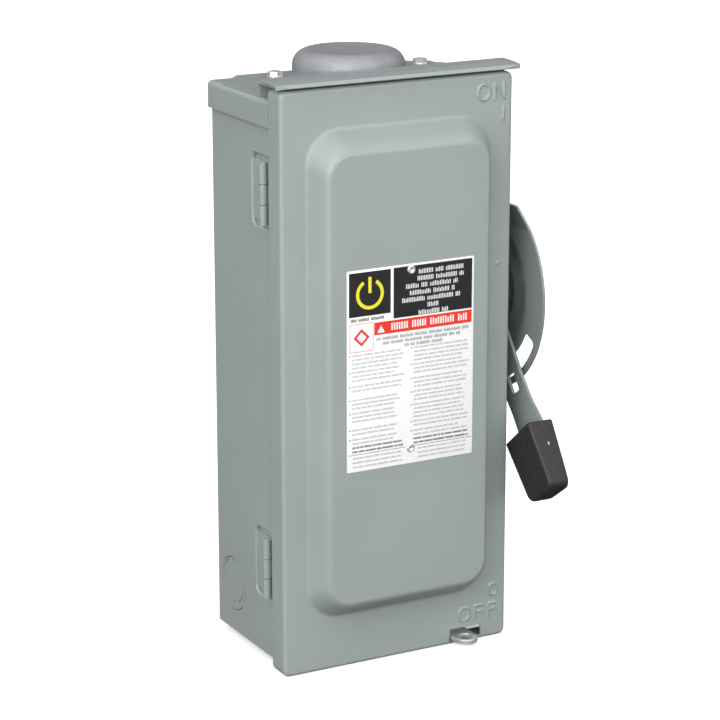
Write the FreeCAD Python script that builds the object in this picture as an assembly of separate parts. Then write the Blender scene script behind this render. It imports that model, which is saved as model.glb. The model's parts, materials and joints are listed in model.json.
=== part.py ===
"""Rainproof AC disconnect box: a 60 A side-operated, fusible, two-pole safety switch in a sheet-steel
enclosure with a left-hung door.

Frame: +X to the right, +Y to the wall, +Z up.  The wall plane is y = 0.  Every piece is drawn with z
counted from the lower edge of the door, and save() lowers it so that the origin ends up in the wall
plane, at the middle of the four mounting holes.  Units are millimetres.
"""
import FreeCAD, Part
import math
import os

from FreeCAD import Vector

os.makedirs("parts", exist_ok=True)

# ---------------------------------------------------------------- driving dimensions
ORIGIN_HEIGHT = 185.0        # middle of the mounting-hole pattern above the door's lower edge
WALL_Y = 2.2                 # wall plane, on the y scale of the constants below
SHEET = 1.5                  # body, cap and guard sheet
DOOR_SHEET = 1.2             # door and drip-shield sheet
FIT = 0.05                   # gap between a piece and the fixed piece that it sits in

# enclosure body
BODY_HALF_W = 78.2
BODY_FRONT_Y = -91.0
BODY_BACK_Y = 0.7
BODY_BOTTOM = 6.3
BODY_TOP = 361.0
BODY_BEND = 2.5              # outside radius of the vertical back corners
LIP_W = 7.0                  # inward lips round the front opening
MOUNT_DX = 100.0
MOUNT_DZ = 270.0
MOUNT_HOLE_R = 3.6
MOUNT_BOSS_R = 14.0
WALL_IN_Y = BODY_BACK_Y - SHEET
WALL_IN_X = BODY_HALF_W - SHEET

# door
DOOR_HALF_W = 80.5
DOOR_H = 369.9
DOOR_FRONT_Y = -99.1
DOOR_REAR_Y = -83.3
DOOR_BEND = 2.4
DOOR_IN_Y = DOOR_FRONT_Y + DOOR_SHEET
PANEL_HALF_W = 63.5
PANEL_BOTTOM = 42.8
PANEL_TOP = 344.2
PANEL_RISE = 15.5
PANEL_RUN_X = 7.2            # sloped wall, seen from the front, at the sides
PANEL_RUN_Z = 10.4           # and at the top and bottom
PANEL_CORNER = 22.0
PANEL_FACE_CORNER = 16.0
PANEL_SHOULDER = 4.0
PANEL_FACE_Y = DOOR_FRONT_Y - PANEL_RISE
LABEL_W = 88.9
LABEL_H = 127.0
LABEL_CENTRE_H = 197.1
LABEL_T = 0.3
LABEL_RIVETS_H = (257.0, 143.5)

# hinges
HINGE_X = -80.9
HINGE_Y = -76.9
HINGE_R = 2.5
HINGE_PIN_R = 1.3
HINGE_BORE_R = 1.35
HINGE_LEN = 38.6
HINGE_GAP = 0.4              # between neighbouring knuckles
HINGE_CENTRES = (304.7, 66.1)
LEAF_T = 1.4
LEAF_SINK = 1.2              # leaf behind the inner side of the barrel
LEAF_IN_X = HINGE_X + HINGE_R + LEAF_SINK + LEAF_T
RECESS_X = LEAF_IN_X + 0.3   # outer face of the pocket floor
RECESS_H = 44.4
RECESS_BACK_Y = -56.2
RECESS_MOUTH = 1.0            # sloped edge round the pocket's mouth

# top cap, drip shield and hub
CAP_HALF_W = 80.5
CAP_TOP = BODY_TOP + SHEET
CAP_SKIRT = 345.7
CAP_FRONT_Y = -82.4
CAP_BEND = 3.2
SHIELD_HALF_W = 78.7
SHIELD_LIP_HALF_W = 84.2
SHIELD_SHELF_H = DOOR_H + 2.6
SHIELD_RISER_Y = -67.2
SHIELD_FOLD_Y = -100.6
SHIELD_LAYER = ((-92.8, 1.3), (-80.5, 1.5))    # (y, height over the shelf) of the folded layer
SHIELD_CORNER = (19.7, 20.5)                   # clipped rear corner, along x and y
LIP_TAPER = (10.6, 2.3)                        # slanted front corner of the lip, along x and y
HUB_Y = -35.0
HUB_R = 35.3
HUB_TOP = 381.0
HUB_HOLE_R = 28.6
HUB_EAR_X = 51.0
HUB_EAR_R = 8.0
HUB_EAR_T = 2.4
HUB_BASE = CAP_TOP + DOOR_SHEET
GASKET_T = 1.2
HUB_SCREW_R = 2.8

# side handle; its angles are measured from straight forward
PIVOT_Y = -50.5
PIVOT_H = 222.2
OFF_ANGLE = -54.5
THROW = 88.0
SHAFT_R = 6.0
SHAFT_BORE_R = 6.05
ARM_X = 88.5
ARM_T = 2.0
ARM_HALF_W = 13.2
ARM_LEN = 137.0
ARM_FLARE = 15.4             # half width where the arm enters the grip
ARM_SLOT = (62.5, 75.3)      # padlock slot, along the arm
ARM_SLOT_HALF_W = 4.5
GRIP_MID_X = 90.0
GRIP_START = 100.3           # front edge of the open end, along the arm
GRIP_SKEW = 2.6              # the rear edge of the open end lies this much further
GRIP_END = 144.3
GRIP_FRONT = 16.5            # across the arm, towards the front
GRIP_REAR = 18.1             # and towards the wall, at the open end
GRIP_TIP_REAR = 14.2
GRIP_T = 18.4
GRIP_TIP_T = 14.6
GRIP_TIP_R = 6.5
GUARD_X = 94.0
GUARD_R = 66.7
GUARD_TOP = 282.5
GUARD_TOP_FRONT_Y = -94.5     # front end of the leaning top edge
GUARD_FOLD = 268.0
GUARD_BOTTOM = 160.5
GUARD_REAR_Y = -14.0
GUARD_TILT = 25.0            # lean of the guard's top towards the wall

# padlock hasp under the bottom wall
HASP_X = 47.4
HASP_Y = -104.7
HASP_R = 7.8
HASP_HOLE_R = 4.5
HASP_T = 3.0
HASP_REAR_Y = -62.0
SLOT_X = (38.9, 62.0)
SLOT_H = (2.6, 10.3)

# switch interior
POLES_X = (-16.0, 28.0)
NEUTRAL_X = -55.0
BASE_FRONT_Y = -17.0
BASE_BACK_Y = WALL_IN_Y - 4.0
ROTOR_RATIO = 0.5            # crossbar angle over handle angle
BLADE_R = 36.0
BLADE_HALF_W = 6.0
BLADE_T = 2.4
JAW_GAP = 0.05
JAW_T = 1.2
STRAP_T = 2.0
POST_FRONT_Y = -27.0         # front of the load-side posts
FUSE_R = 10.3
FUSE_Y = -40.6
FUSE_BOTTOM = 96.0
FUSE_LEN = 76.2
FERRULE_LEN = 16.0
LUG_W = 15.0
LUG_D = 16.0
LUG_H = 19.0
LUG_WIRE_R = 4.8
LUG_SCREW_R = 4.0
LINE_LUG_H = 278.0
LOAD_LUG_H = 66.0
CRANK_X = 69.0
CRANK_T = 2.5


# ---------------------------------------------------------------- helpers
def box(x0, x1, y0, y1, z0, z1):
    """Box between two corners given as pairs of x, y and z."""
    return Part.makeBox(x1 - x0, y1 - y0, z1 - z0, Vector(x0, y0, z0))


def rod(start, direction, radius, length):
    """Solid cylinder from start along direction."""
    return Part.makeCylinder(radius, length, Vector(*start), Vector(*direction))


def tube(start, direction, outer, inner, length):
    """Hollow cylinder from start along direction."""
    return rod(start, direction, outer, length).cut(rod(start, direction, inner, length))


def union(pieces):
    """One shape fused from several that touch or overlap."""
    pieces = list(pieces)
    return pieces[0].multiFuse(pieces[1:]).removeSplitter()


def group(pieces):
    """Separate solids kept side by side in one node."""
    solids = []
    for piece in pieces:
        solids.extend(piece.Solids)
    return Part.makeCompound(solids)


def prism(points, direction):
    """Solid from a closed outline of 3-D points, pushed along direction."""
    outline = [Vector(*p) for p in points]
    return Part.Face(Part.makePolygon(outline + outline[:1])).extrude(Vector(*direction))


def mirrored(shape):
    """Mirror image in the plane x = 0."""
    return shape.mirror(Vector(0, 0, 0), Vector(1, 0, 0))


def round_edges(shape, radius, chosen):
    """Fillet the edges that chosen(edge) accepts."""
    edges = [edge for edge in shape.Edges if chosen(edge)]
    return shape.makeFillet(radius, edges)


def along(axis):
    """Test for straight edges that run along an axis, 0 for x, 1 for y and 2 for z."""
    def test(edge):
        if edge.Curve.TypeId != "Part::GeomLine":
            return False
        return abs(abs(edge.Curve.Direction[axis]) - 1.0) < 1e-6
    return test


def both(*tests):
    """Test that holds where all the given tests hold."""
    return lambda edge: all(test(edge) for test in tests)


def at(axis, value):
    """Test for edges whose middle lies at value on an axis."""
    return lambda edge: abs(edge.CenterOfMass[axis] - value) < 1e-3


def sheet_outline(points, thickness):
    """Closed 2-D outline of a strip whose one side is the given polyline, with mitred bends."""
    normals = []
    for (a0, b0), (a1, b1) in zip(points, points[1:]):
        length = math.hypot(a1 - a0, b1 - b0)
        normals.append((-(b1 - b0) / length, (a1 - a0) / length))
    offset = []
    for i, (a, b) in enumerate(points):
        before = normals[max(i - 1, 0)]
        after = normals[min(i, len(normals) - 1)]
        scale = thickness / (1.0 + before[0] * after[0] + before[1] * after[1])
        offset.append((a + scale * (before[0] + after[0]), b + scale * (before[1] + after[1])))
    return list(points) + offset[::-1]


def bent_yz(points, thickness, x0, x1):
    """Bent strip: a (y, z) polyline with thickness to its left, spanning x0 to x1."""
    outline = [(x0, y, z) for y, z in sheet_outline(points, thickness)]
    return prism(outline, (x1 - x0, 0, 0))


def bent_xy(points, thickness, z0, z1):
    """Bent strip: an (x, y) polyline with thickness to its left, spanning z0 to z1."""
    outline = [(x, y, z0) for x, y in sheet_outline(points, thickness)]
    return prism(outline, (0, 0, z1 - z0))


def rounded_wire(half_x, z0, z1, radius, y):
    """Closed rectangle with round corners in the plane of constant y."""
    corners = [(half_x, z1), (-half_x, z1), (-half_x, z0), (half_x, z0)]
    edges = []
    for i, (cx, cz) in enumerate(corners):
        sx, sz = math.copysign(1, cx), math.copysign(1, cz - (z0 + z1) / 2)
        centre = Vector(cx - sx * radius, y, cz - sz * radius)
        first, last = math.pi / 2 * i, math.pi / 2 * (i + 1)
        on_arc = [centre + Vector(math.cos(t), 0, math.sin(t)) * radius
                  for t in (first, (first + last) / 2, last)]
        edges.append(on_arc)
    parts = []
    for i, (start, middle, end) in enumerate(edges):
        parts.append(Part.Arc(start, middle, end).toShape())
        parts.append(Part.makeLine(end, edges[(i + 1) % 4][0]))
    return Part.Wire(parts)


def hand_frame(angle):
    """Forward and sideways unit vectors (y, z) of the handle at an angle above straight forward."""
    a = math.radians(angle)
    return (-math.cos(a), math.sin(a)), (math.sin(a), math.cos(a))


def turned(shape, degrees):
    """Turn a shape about the handle axis; positive lifts its front end."""
    turned_shape = shape.copy()
    turned_shape.rotate(Vector(0, PIVOT_Y, PIVOT_H), Vector(-1, 0, 0), degrees)
    return turned_shape


def revolved_x(profile):
    """Solid turned about the handle axis from an (x, radius) outline."""
    points = [Vector(x, PIVOT_Y + r, PIVOT_H) for x, r in profile]
    face = Part.Face(Part.makePolygon(points + points[:1]))
    return face.revolve(Vector(0, PIVOT_Y, PIVOT_H), Vector(1, 0, 0), 360)


def slotted_screw(start, direction, head_r, head_t, shank_r, shank_len, slot_side):
    """Screw whose head rests on start and rises along direction, with a slot across its head."""
    d = Vector(*direction)
    foot = Vector(*start)
    head = Part.makeCylinder(head_r, head_t, foot, d)
    shank = Part.makeCylinder(shank_r, shank_len, foot, d * -1)
    side = Vector(*slot_side)
    depth = d.cross(side)
    slot_w, slot_d = head_r * 0.28, head_t * 0.45
    corner = foot + d * (head_t - slot_d) - side * head_r * 1.1 - depth * (slot_w / 2)
    corners = [corner, corner + side * head_r * 2.2,
               corner + side * head_r * 2.2 + depth * slot_w, corner + depth * slot_w]
    slot = Part.Face(Part.makePolygon(corners + corners[:1])).extrude(d * slot_d * 1.5)
    return head.fuse(shank).cut(slot)


def knockout_cut(centre, direction, tab_side, radius):
    """Thin ring-shaped cut through a wall, broken by two tabs that hold the slug."""
    groove, through, tab_w = 0.5, 2.5 * SHEET, 4.0
    d = Vector(*direction)
    start = Vector(*centre) - d * through / 2
    ring = Part.makeCylinder(radius + groove, through, start, d)
    ring = ring.cut(Part.makeCylinder(radius, through, start, d))
    side = Vector(*tab_side)
    depth = d.cross(side)
    corner = start - side * radius * 1.2 - depth * (tab_w / 2)
    corners = [corner, corner + side * radius * 2.4,
               corner + side * radius * 2.4 + depth * tab_w, corner + depth * tab_w]
    tabs = Part.Face(Part.makePolygon(corners + corners[:1])).extrude(d * through)
    return ring.cut(tabs)


def save(node, shape):
    """Write one node, moved so that the origin is in the wall plane at mid pattern."""
    placed = shape.copy()
    placed.translate(Vector(0, -WALL_Y, -ORIGIN_HEIGHT))
    placed.exportStep(os.path.join("parts", node + ".step"))


# ---------------------------------------------------------------- enclosure body
def hinge_pocket(height):
    """Shallow pressed pocket round one hinge: its metal and the space in front of it."""
    z0, z1 = height - RECESS_H / 2, height + RECESS_H / 2
    corner = 5.0

    def rounded(x0, x1, grow):
        block = box(x0, x1, BODY_FRONT_Y - 5, RECESS_BACK_Y + grow, z0 - grow, z1 + grow)
        return round_edges(block, corner + grow, both(along(0), at(1, RECESS_BACK_Y + grow)))

    metal = rounded(-BODY_HALF_W, RECESS_X + SHEET, SHEET)
    metal = metal.cut(box(-200, 200, BODY_FRONT_Y - 50, BODY_FRONT_Y, z0 - 50, z1 + 50))
    mouth_x = -BODY_HALF_W + RECESS_MOUTH
    mouth = rounded(-BODY_HALF_W - 5, mouth_x, RECESS_MOUTH)
    rim = [e for e in mouth.Edges if at(0, mouth_x)(e) and not at(1, BODY_FRONT_Y - 5)(e)]
    mouth = mouth.makeChamfer(RECESS_MOUTH - 0.02, rim)
    return metal, rounded(-BODY_HALF_W - 5, RECESS_X, 0.0).fuse(mouth)


def knockouts():
    """Pairs of nested knockouts in the side, bottom and back walls."""
    inner_r, outer_r, drop = 14.1, 17.3, 1.8
    cuts = []
    for side in (-1, 1):
        wall = side * (BODY_HALF_W - SHEET / 2)
        cuts.append(knockout_cut((wall, -23.0, 40.0), (side, 0, 0), (0, 0.35, 0.94), inner_r))
        cuts.append(knockout_cut((wall, -23.0, 40.0 - drop), (side, 0, 0), (0, 0.82, 0.57), outer_r))
    back = BODY_BACK_Y - SHEET / 2
    cuts.append(knockout_cut((0, back, 40.0), (0, 1, 0), (1, 0, 0), inner_r))
    cuts.append(knockout_cut((0, back, 40.0 - drop), (0, 1, 0), (0, 0, 1), outer_r))
    return cuts


def enclosure_wrapper():
    """Back and side walls bent from one sheet, with lips, hinge pockets, bosses and holes."""
    outer = box(-BODY_HALF_W, BODY_HALF_W, BODY_FRONT_Y, BODY_BACK_Y, BODY_BOTTOM, BODY_TOP)
    outer = round_edges(outer, BODY_BEND, both(along(2), at(1, BODY_BACK_Y)))
    inner = box(-WALL_IN_X, WALL_IN_X, BODY_FRONT_Y - 5, WALL_IN_Y, BODY_BOTTOM - 5, BODY_TOP + 5)
    inner = round_edges(inner, BODY_BEND - SHEET, both(along(2), at(1, WALL_IN_Y)))
    walls = outer.cut(inner)
    lip = box(WALL_IN_X - LIP_W, WALL_IN_X, BODY_FRONT_Y, BODY_FRONT_Y + SHEET, BODY_BOTTOM, BODY_TOP)
    pieces = [walls, lip, mirrored(lip)]
    cuts = knockouts()
    for height in HINGE_CENTRES:
        metal, space = hinge_pocket(height)
        pieces.append(metal)
        cuts.append(space)
    for side_x in (-MOUNT_DX / 2, MOUNT_DX / 2):
        for side_z in (-MOUNT_DZ / 2, MOUNT_DZ / 2):
            height = ORIGIN_HEIGHT + side_z
            boss = Part.makeCone(MOUNT_BOSS_R, MOUNT_BOSS_R - 3.0, WALL_Y - BODY_BACK_Y,
                                 Vector(side_x, BODY_BACK_Y, height), Vector(0, 1, 0))
            dent = Part.makeCone(MOUNT_BOSS_R - 1.0, MOUNT_BOSS_R - 4.0, WALL_Y - BODY_BACK_Y,
                                 Vector(side_x, WALL_IN_Y, height), Vector(0, 1, 0))
            pieces.append(boss)
            cuts.append(dent)
            cuts.append(rod((side_x, WALL_IN_Y - 1, height), (0, 1, 0), MOUNT_HOLE_R, 10))
    cuts.append(rod((WALL_IN_X - 1, PIVOT_Y, PIVOT_H), (1, 0, 0), SHAFT_R + 3.0, 2 * SHEET + 2))
    hook_notch = box(WALL_IN_X - LIP_W - 1, WALL_IN_X - 1, BODY_FRONT_Y - 1, BODY_FRONT_Y + SHEET + 1,
                     PIVOT_H - 27, PIVOT_H + 22)
    cuts.append(hook_notch)
    cuts.append(box(-BODY_HALF_W - 5, BODY_HALF_W + 5, CAP_FRONT_Y - 0.5, 5,
                    BODY_TOP - CAP_BEND + SHEET, BODY_TOP + 5))
    return union(pieces).cut(union(cuts[:1]).multiFuse(cuts[1:]))


def bottom_endwall():
    """Bottom tray that sits between the side walls, with two nested knockouts and drain holes."""
    half = WALL_IN_X - FIT
    back = WALL_IN_Y - FIT
    flange_top = BODY_BOTTOM + 15.0
    outer = box(-half, half, BODY_FRONT_Y + SHEET + FIT, back, BODY_BOTTOM, flange_top)
    inner = box(-half + SHEET, half - SHEET, BODY_FRONT_Y + 2 * SHEET + FIT, back - SHEET,
                BODY_BOTTOM + SHEET, flange_top + 1)
    outer = round_edges(outer, BODY_BEND - SHEET, both(along(2), at(1, back)))
    tray = outer.cut(inner)
    mid = BODY_BOTTOM + SHEET / 2
    cuts = []
    for x in (-34.0, 14.0):
        cuts.append(knockout_cut((x, -38.0, mid), (0, 0, 1), (0, 1, 0), 14.1))
        cuts.append(knockout_cut((x, -39.8, mid), (0, 0, 1), (1, 0, 0), 17.3))
    for x in (-66.0, 66.0):
        cuts.append(rod((x, -12.0, BODY_BOTTOM - 1), (0, 0, 1), 3.0, 4))
    return tray.cut(cuts[0].multiFuse(cuts[1:]))


def top_endcap():
    """Top cap over the walls: skirts at the sides and back, and a tongue that runs into the door."""
    outer = box(-CAP_HALF_W, CAP_HALF_W, CAP_FRONT_Y, WALL_Y, CAP_SKIRT, CAP_TOP)
    bends = both(lambda e: not at(1, CAP_FRONT_Y)(e), lambda e: not at(2, CAP_SKIRT)(e),
                 lambda e: along(2)(e) or at(2, CAP_TOP)(e))
    outer = round_edges(outer, CAP_BEND, bends)
    back = WALL_Y - SHEET
    inner = box(-CAP_HALF_W + SHEET, CAP_HALF_W - SHEET, CAP_FRONT_Y - 5, back, CAP_SKIRT - 5, BODY_TOP)
    keep = both(lambda e: along(1)(e) and at(2, BODY_TOP)(e))
    inner = round_edges(inner, CAP_BEND - SHEET, keep)
    corner = both(along(2), at(1, back))
    inner = round_edges(inner, BODY_BEND - SHEET, corner)
    tongue = box(-BODY_HALF_W + FIT, BODY_HALF_W - FIT, BODY_FRONT_Y, CAP_FRONT_Y, BODY_TOP, CAP_TOP)
    front_lip = box(-WALL_IN_X + LIP_W + FIT, WALL_IN_X - LIP_W - FIT, BODY_FRONT_Y, BODY_FRONT_Y + SHEET,
                    BODY_TOP - 8, BODY_TOP)
    cap = union([outer.cut(inner), tongue, front_lip])
    cuts = [rod((0, HUB_Y, BODY_TOP - 5), (0, 0, 1), HUB_HOLE_R, 12)]
    for side in (-1, 1):
        cuts.append(rod((side * HUB_EAR_X, HUB_Y, BODY_TOP - 5), (0, 0, 1), HUB_SCREW_R + FIT, 12))
    return cap.cut(cuts[0].multiFuse(cuts[1:]))


def drip_shield():
    """Flat plate on the cap that steps up and folds back over itself as a lip above the door."""
    shelf = SHIELD_SHELF_H
    path = [(BODY_BACK_Y, HUB_BASE), (SHIELD_RISER_Y, HUB_BASE), (SHIELD_RISER_Y, shelf),
            (SHIELD_FOLD_Y, shelf), (SHIELD_FOLD_Y - 0.5, shelf + 0.2), (SHIELD_FOLD_Y - 0.3, shelf + 0.5)]
    path += [(y, shelf + over) for y, over in SHIELD_LAYER]
    shield = bent_yz(path, DOOR_SHEET, -SHIELD_LIP_HALF_W, SHIELD_LIP_HALF_W)
    cuts = [rod((0, HUB_Y, CAP_TOP - 2), (0, 0, 1), HUB_HOLE_R, 4),
            rod((0, HUB_Y, HUB_BASE), (0, 0, 1), HUB_R + 1.0, shelf + 0.1 - HUB_BASE)]
    for side in (-1, 1):
        far = side * (SHIELD_LIP_HALF_W + 5)
        low, high = sorted((side * SHIELD_HALF_W, far))
        cuts.append(box(low, high, SHIELD_RISER_Y - 3, WALL_Y + 3, CAP_TOP - 5, shelf + 0.5))
        low, high = sorted((side * (DOOR_HALF_W + 0.7), far))
        cuts.append(box(low, high, SHIELD_FOLD_Y + 0.5, SHIELD_RISER_Y, shelf - 3, shelf + 0.1))
        cuts.append(rear_corner(side))
        cuts.append(rod((side * HUB_EAR_X, HUB_Y, CAP_TOP - 2), (0, 0, 1), HUB_SCREW_R + FIT, 6))
        cuts.append(lip_corner(side))
    return shield.cut(cuts[0].multiFuse(cuts[1:]))


def rear_corner(side):
    """Waste outside the clipped rear corner of the drip shield."""
    run_x, run_y = SHIELD_CORNER
    outer_x, rear_y, base = SHIELD_HALF_W + 1, BODY_BACK_Y + 1, CAP_TOP - 1
    corner = [(outer_x - run_x - 1, rear_y), (outer_x, BODY_BACK_Y - run_y), (outer_x, rear_y)]
    return prism([(side * x, y, base) for x, y in corner], (0, 0, 4))


def lip_corner(side):
    """Waste outside the slightly tapered front corner of the drip lip."""
    run_x, run_y = LIP_TAPER
    front, base = SHIELD_FOLD_Y - 2.5, CAP_TOP + 4
    inner_x, outer_x = SHIELD_LIP_HALF_W - run_x, SHIELD_LIP_HALF_W + 1
    corner = [(inner_x, front), (outer_x, front + run_y), (outer_x, front - 1), (inner_x, front - 1)]
    return prism([(side * x, y, base) for x, y in corner], (0, 0, 16))


def hub_outline(radius_hub, radius_ear, z0, height):
    """Round plate with two screw ears."""
    plate = rod((0, HUB_Y, z0), (0, 0, 1), radius_hub, height)
    bar = box(-HUB_EAR_X, HUB_EAR_X, HUB_Y - radius_ear, HUB_Y + radius_ear, z0, z0 + height)
    ears = [rod((side * HUB_EAR_X, HUB_Y, z0), (0, 0, 1), radius_ear, height) for side in (-1, 1)]
    return union([plate, bar] + ears)


def hub_screw_holes(z0, height):
    """Clearance for the two hub screws."""
    hole = rod((HUB_EAR_X, HUB_Y, z0), (0, 0, 1), HUB_SCREW_R + 2 * FIT, height)
    return hole.fuse(mirrored(hole))


def hub_gasket():
    """Flat seal between the drip shield and the closing cap."""
    gasket = hub_outline(HUB_R - 0.6, HUB_EAR_R - 0.4, HUB_BASE, GASKET_T)
    opening = rod((0, HUB_Y, HUB_BASE - 1), (0, 0, 1), HUB_HOLE_R, 4)
    return gasket.cut(opening).cut(hub_screw_holes(HUB_BASE - 1, 4))


def hub_closing_cap():
    """Domed plate with two ears that closes the conduit-hub opening."""
    foot, wall = HUB_BASE + GASKET_T, 2.2
    bend, dish_depth = 10.0, 1.5

    def dome(radius, z0, top, round_r):
        start, end = Vector(radius, HUB_Y, top - round_r), Vector(radius - round_r, HUB_Y, top)
        middle = Vector(radius - round_r * (1 - math.sin(math.pi / 4)), HUB_Y,
                        top - round_r * (1 - math.sin(math.pi / 4)))
        dish = Vector(0, HUB_Y, top - dish_depth)
        face_r = radius - round_r
        sphere_r = (face_r ** 2 + dish_depth ** 2) / (2 * dish_depth)
        half_rise = sphere_r - math.sqrt(sphere_r ** 2 - (face_r / 2) ** 2)
        dish_mid = Vector(face_r / 2, HUB_Y, dish.z + half_rise)
        edges = [Part.makeLine(Vector(0, HUB_Y, z0), Vector(radius, HUB_Y, z0)),
                 Part.makeLine(Vector(radius, HUB_Y, z0), start),
                 Part.Arc(start, middle, end).toShape(),
                 Part.Arc(end, dish_mid, dish).toShape(),
                 Part.makeLine(dish, Vector(0, HUB_Y, z0))]
        return Part.Face(Part.Wire(edges)).revolve(Vector(0, HUB_Y, 0), Vector(0, 0, 1), 360)

    plate = hub_outline(HUB_R, HUB_EAR_R, foot, HUB_EAR_T)
    shell = plate.fuse(dome(HUB_R, foot, HUB_TOP, bend)).removeSplitter()
    hollow = dome(HUB_R - wall, foot - 1, HUB_TOP - wall, bend - wall)
    return shell.cut(hollow).cut(hub_screw_holes(foot - 1, 8))


def hub_cap_screws():
    """Two hex-washer screws with slotted heads in the hub's ears."""
    seat = HUB_BASE + GASKET_T + HUB_EAR_T
    screws = []
    for side in (-1, 1):
        x = side * HUB_EAR_X
        washer = rod((x, HUB_Y, seat), (0, 0, 1), 5.2, 0.8)
        hexagon = [(x + 4.6 * math.cos(math.radians(60 * k + 20)),
                    HUB_Y + 4.6 * math.sin(math.radians(60 * k + 20)), seat) for k in range(6)]
        head = prism(hexagon, (0, 0, 3.4))
        shank = rod((x, HUB_Y, BODY_TOP - 4), (0, 0, 1), HUB_SCREW_R, seat - BODY_TOP + 4)
        slot = box(x - 6, x + 6, HUB_Y - 0.6, HUB_Y + 0.6, seat + 2.0, seat + 5)
        screws.append(union([washer, head, shank]).cut(slot))
    return group(screws)


# ---------------------------------------------------------------- hinges
def knuckle_span(index):
    """Lower and upper end of one of three knuckles, counted from the hinge's lower end."""
    third = HINGE_LEN / 3
    return index * third + HINGE_GAP / 2, (index + 1) * third - HINGE_GAP / 2


def hinge_leaf(height, knuckles, outline):
    """Leaf with the given knuckles; outline is its flat part in (x, y)."""
    bottom = height - HINGE_LEN / 2
    pieces = []
    for index in knuckles:
        z0, z1 = knuckle_span(index)
        barrel = rod((HINGE_X, HINGE_Y, bottom + z0), (0, 0, 1), HINGE_R, z1 - z0)
        reach = math.copysign(HINGE_R + 1.2, outline[-1][1] - HINGE_Y)
        near, far = sorted((HINGE_Y, HINGE_Y + reach))
        tab = box(LEAF_IN_X - LEAF_T, LEAF_IN_X, near, far, bottom + z0, bottom + z1)
        root = box(HINGE_X, LEAF_IN_X, HINGE_Y - 0.7, HINGE_Y + 0.7, bottom + z0, bottom + z1)
        pieces.extend([barrel, tab, root])
    pieces.append(prism([(x, y, bottom + 0.5) for x, y in outline], (0, 0, HINGE_LEN - 1.0)))
    bore = rod((HINGE_X, HINGE_Y, bottom - 1), (0, 0, 1), HINGE_BORE_R, HINGE_LEN + 2)
    return union(pieces).cut(bore)


def body_hinge_leaves():
    """Rear leaves, welded to the pocket floors, with the outer two knuckles each."""
    outer = LEAF_IN_X - LEAF_T
    outline = [(outer, HINGE_Y + HINGE_R + 0.6), (RECESS_X, HINGE_Y + HINGE_R + 0.6),
               (RECESS_X, RECESS_BACK_Y - 0.3), (outer, RECESS_BACK_Y - 0.3)]
    return group(hinge_leaf(height, (0, 2), outline) for height in HINGE_CENTRES)


def door_hinge_leaves():
    """Front leaves, stepped out to the door's side flange, with the middle knuckle each."""
    outer = LEAF_IN_X - LEAF_T
    step = -DOOR_HALF_W + DOOR_SHEET
    path = [(outer, HINGE_Y - HINGE_R - 0.6), (outer, -80.5), (step, -82.5), (step, DOOR_IN_Y + 3.0)]
    outline = sheet_outline(path, LEAF_T)
    return group(hinge_leaf(height, (1,), outline) for height in HINGE_CENTRES)


def hinge_pins():
    """Plain pins, staked in the rear leaves."""
    pins = []
    for height in HINGE_CENTRES:
        pins.append(rod((HINGE_X, HINGE_Y, height - HINGE_LEN / 2), (0, 0, 1), HINGE_PIN_R, HINGE_LEN))
    return group(pins)


# ---------------------------------------------------------------- door
def door_panel():
    """Tray-shaped door with a pressed-out raised panel, round flanges and the hasp slot."""
    outer = box(-DOOR_HALF_W, DOOR_HALF_W, DOOR_FRONT_Y, DOOR_REAR_Y, 0, DOOR_H)
    front_edges = both(lambda e: at(1, DOOR_FRONT_Y)(e) or along(1)(e))
    outer = round_edges(outer, DOOR_BEND, front_edges)
    inner = box(-DOOR_HALF_W + DOOR_SHEET, DOOR_HALF_W - DOOR_SHEET, DOOR_IN_Y, DOOR_REAR_Y + 1,
                DOOR_SHEET, DOOR_H - DOOR_SHEET)
    inner_edges = both(lambda e: at(1, DOOR_IN_Y)(e) or along(1)(e))
    inner = round_edges(inner, DOOR_BEND - DOOR_SHEET, inner_edges)
    raised = raised_panel(0.0, DOOR_IN_Y)
    hollow = raised_panel(DOOR_SHEET, DOOR_IN_Y + 0.5)
    slot = box(SLOT_X[0], SLOT_X[1], DOOR_FRONT_Y - 1, DOOR_IN_Y + 1, SLOT_H[0], SLOT_H[1])
    door = outer.cut(inner).fuse(raised).removeSplitter()
    cuts = [hollow, slot]
    for height in LABEL_RIVETS_H:
        cuts.append(rod((0, PANEL_FACE_Y - 1, height), (0, 1, 0), 1.7, 4))
    return door.cut(cuts[0].multiFuse(cuts[1:]))


def raised_panel(inset, root_y):
    """Frustum with round corners and a rolled shoulder, inset by a sheet thickness for its hollow."""
    face_y = PANEL_FACE_Y + inset
    slant = math.hypot(PANEL_RISE, PANEL_RUN_X) / PANEL_RISE
    wall = inset * slant
    grow = (root_y - DOOR_FRONT_Y) / PANEL_RISE
    foot = rounded_wire(PANEL_HALF_W - wall + PANEL_RUN_X * grow,
                        PANEL_BOTTOM + wall - PANEL_RUN_Z * grow,
                        PANEL_TOP - wall + PANEL_RUN_Z * grow, PANEL_CORNER - wall, root_y)
    shrink = inset / PANEL_RISE
    top = rounded_wire(PANEL_HALF_W - wall - PANEL_RUN_X * (1 - shrink),
                       PANEL_BOTTOM + wall + PANEL_RUN_Z * (1 - shrink),
                       PANEL_TOP - wall - PANEL_RUN_Z * (1 - shrink), PANEL_FACE_CORNER - wall, face_y)
    block = Part.makeLoft([foot, top], True, True)
    return round_edges(block, PANEL_SHOULDER - inset,
                       lambda e: all(abs(v.Y - face_y) < 1e-3 for v in e.Vertexes))


def door_label():
    """Printed adhesive label on the raised panel."""
    z0 = LABEL_CENTRE_H - LABEL_H / 2
    label = box(-LABEL_W / 2, LABEL_W / 2, PANEL_FACE_Y - LABEL_T, PANEL_FACE_Y, z0, z0 + LABEL_H)
    label = round_edges(label, 1.0, along(1))
    for height in LABEL_RIVETS_H:
        label = label.cut(rod((0, PANEL_FACE_Y - 1, height), (0, 1, 0), 1.7, 3))
    return label


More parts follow.
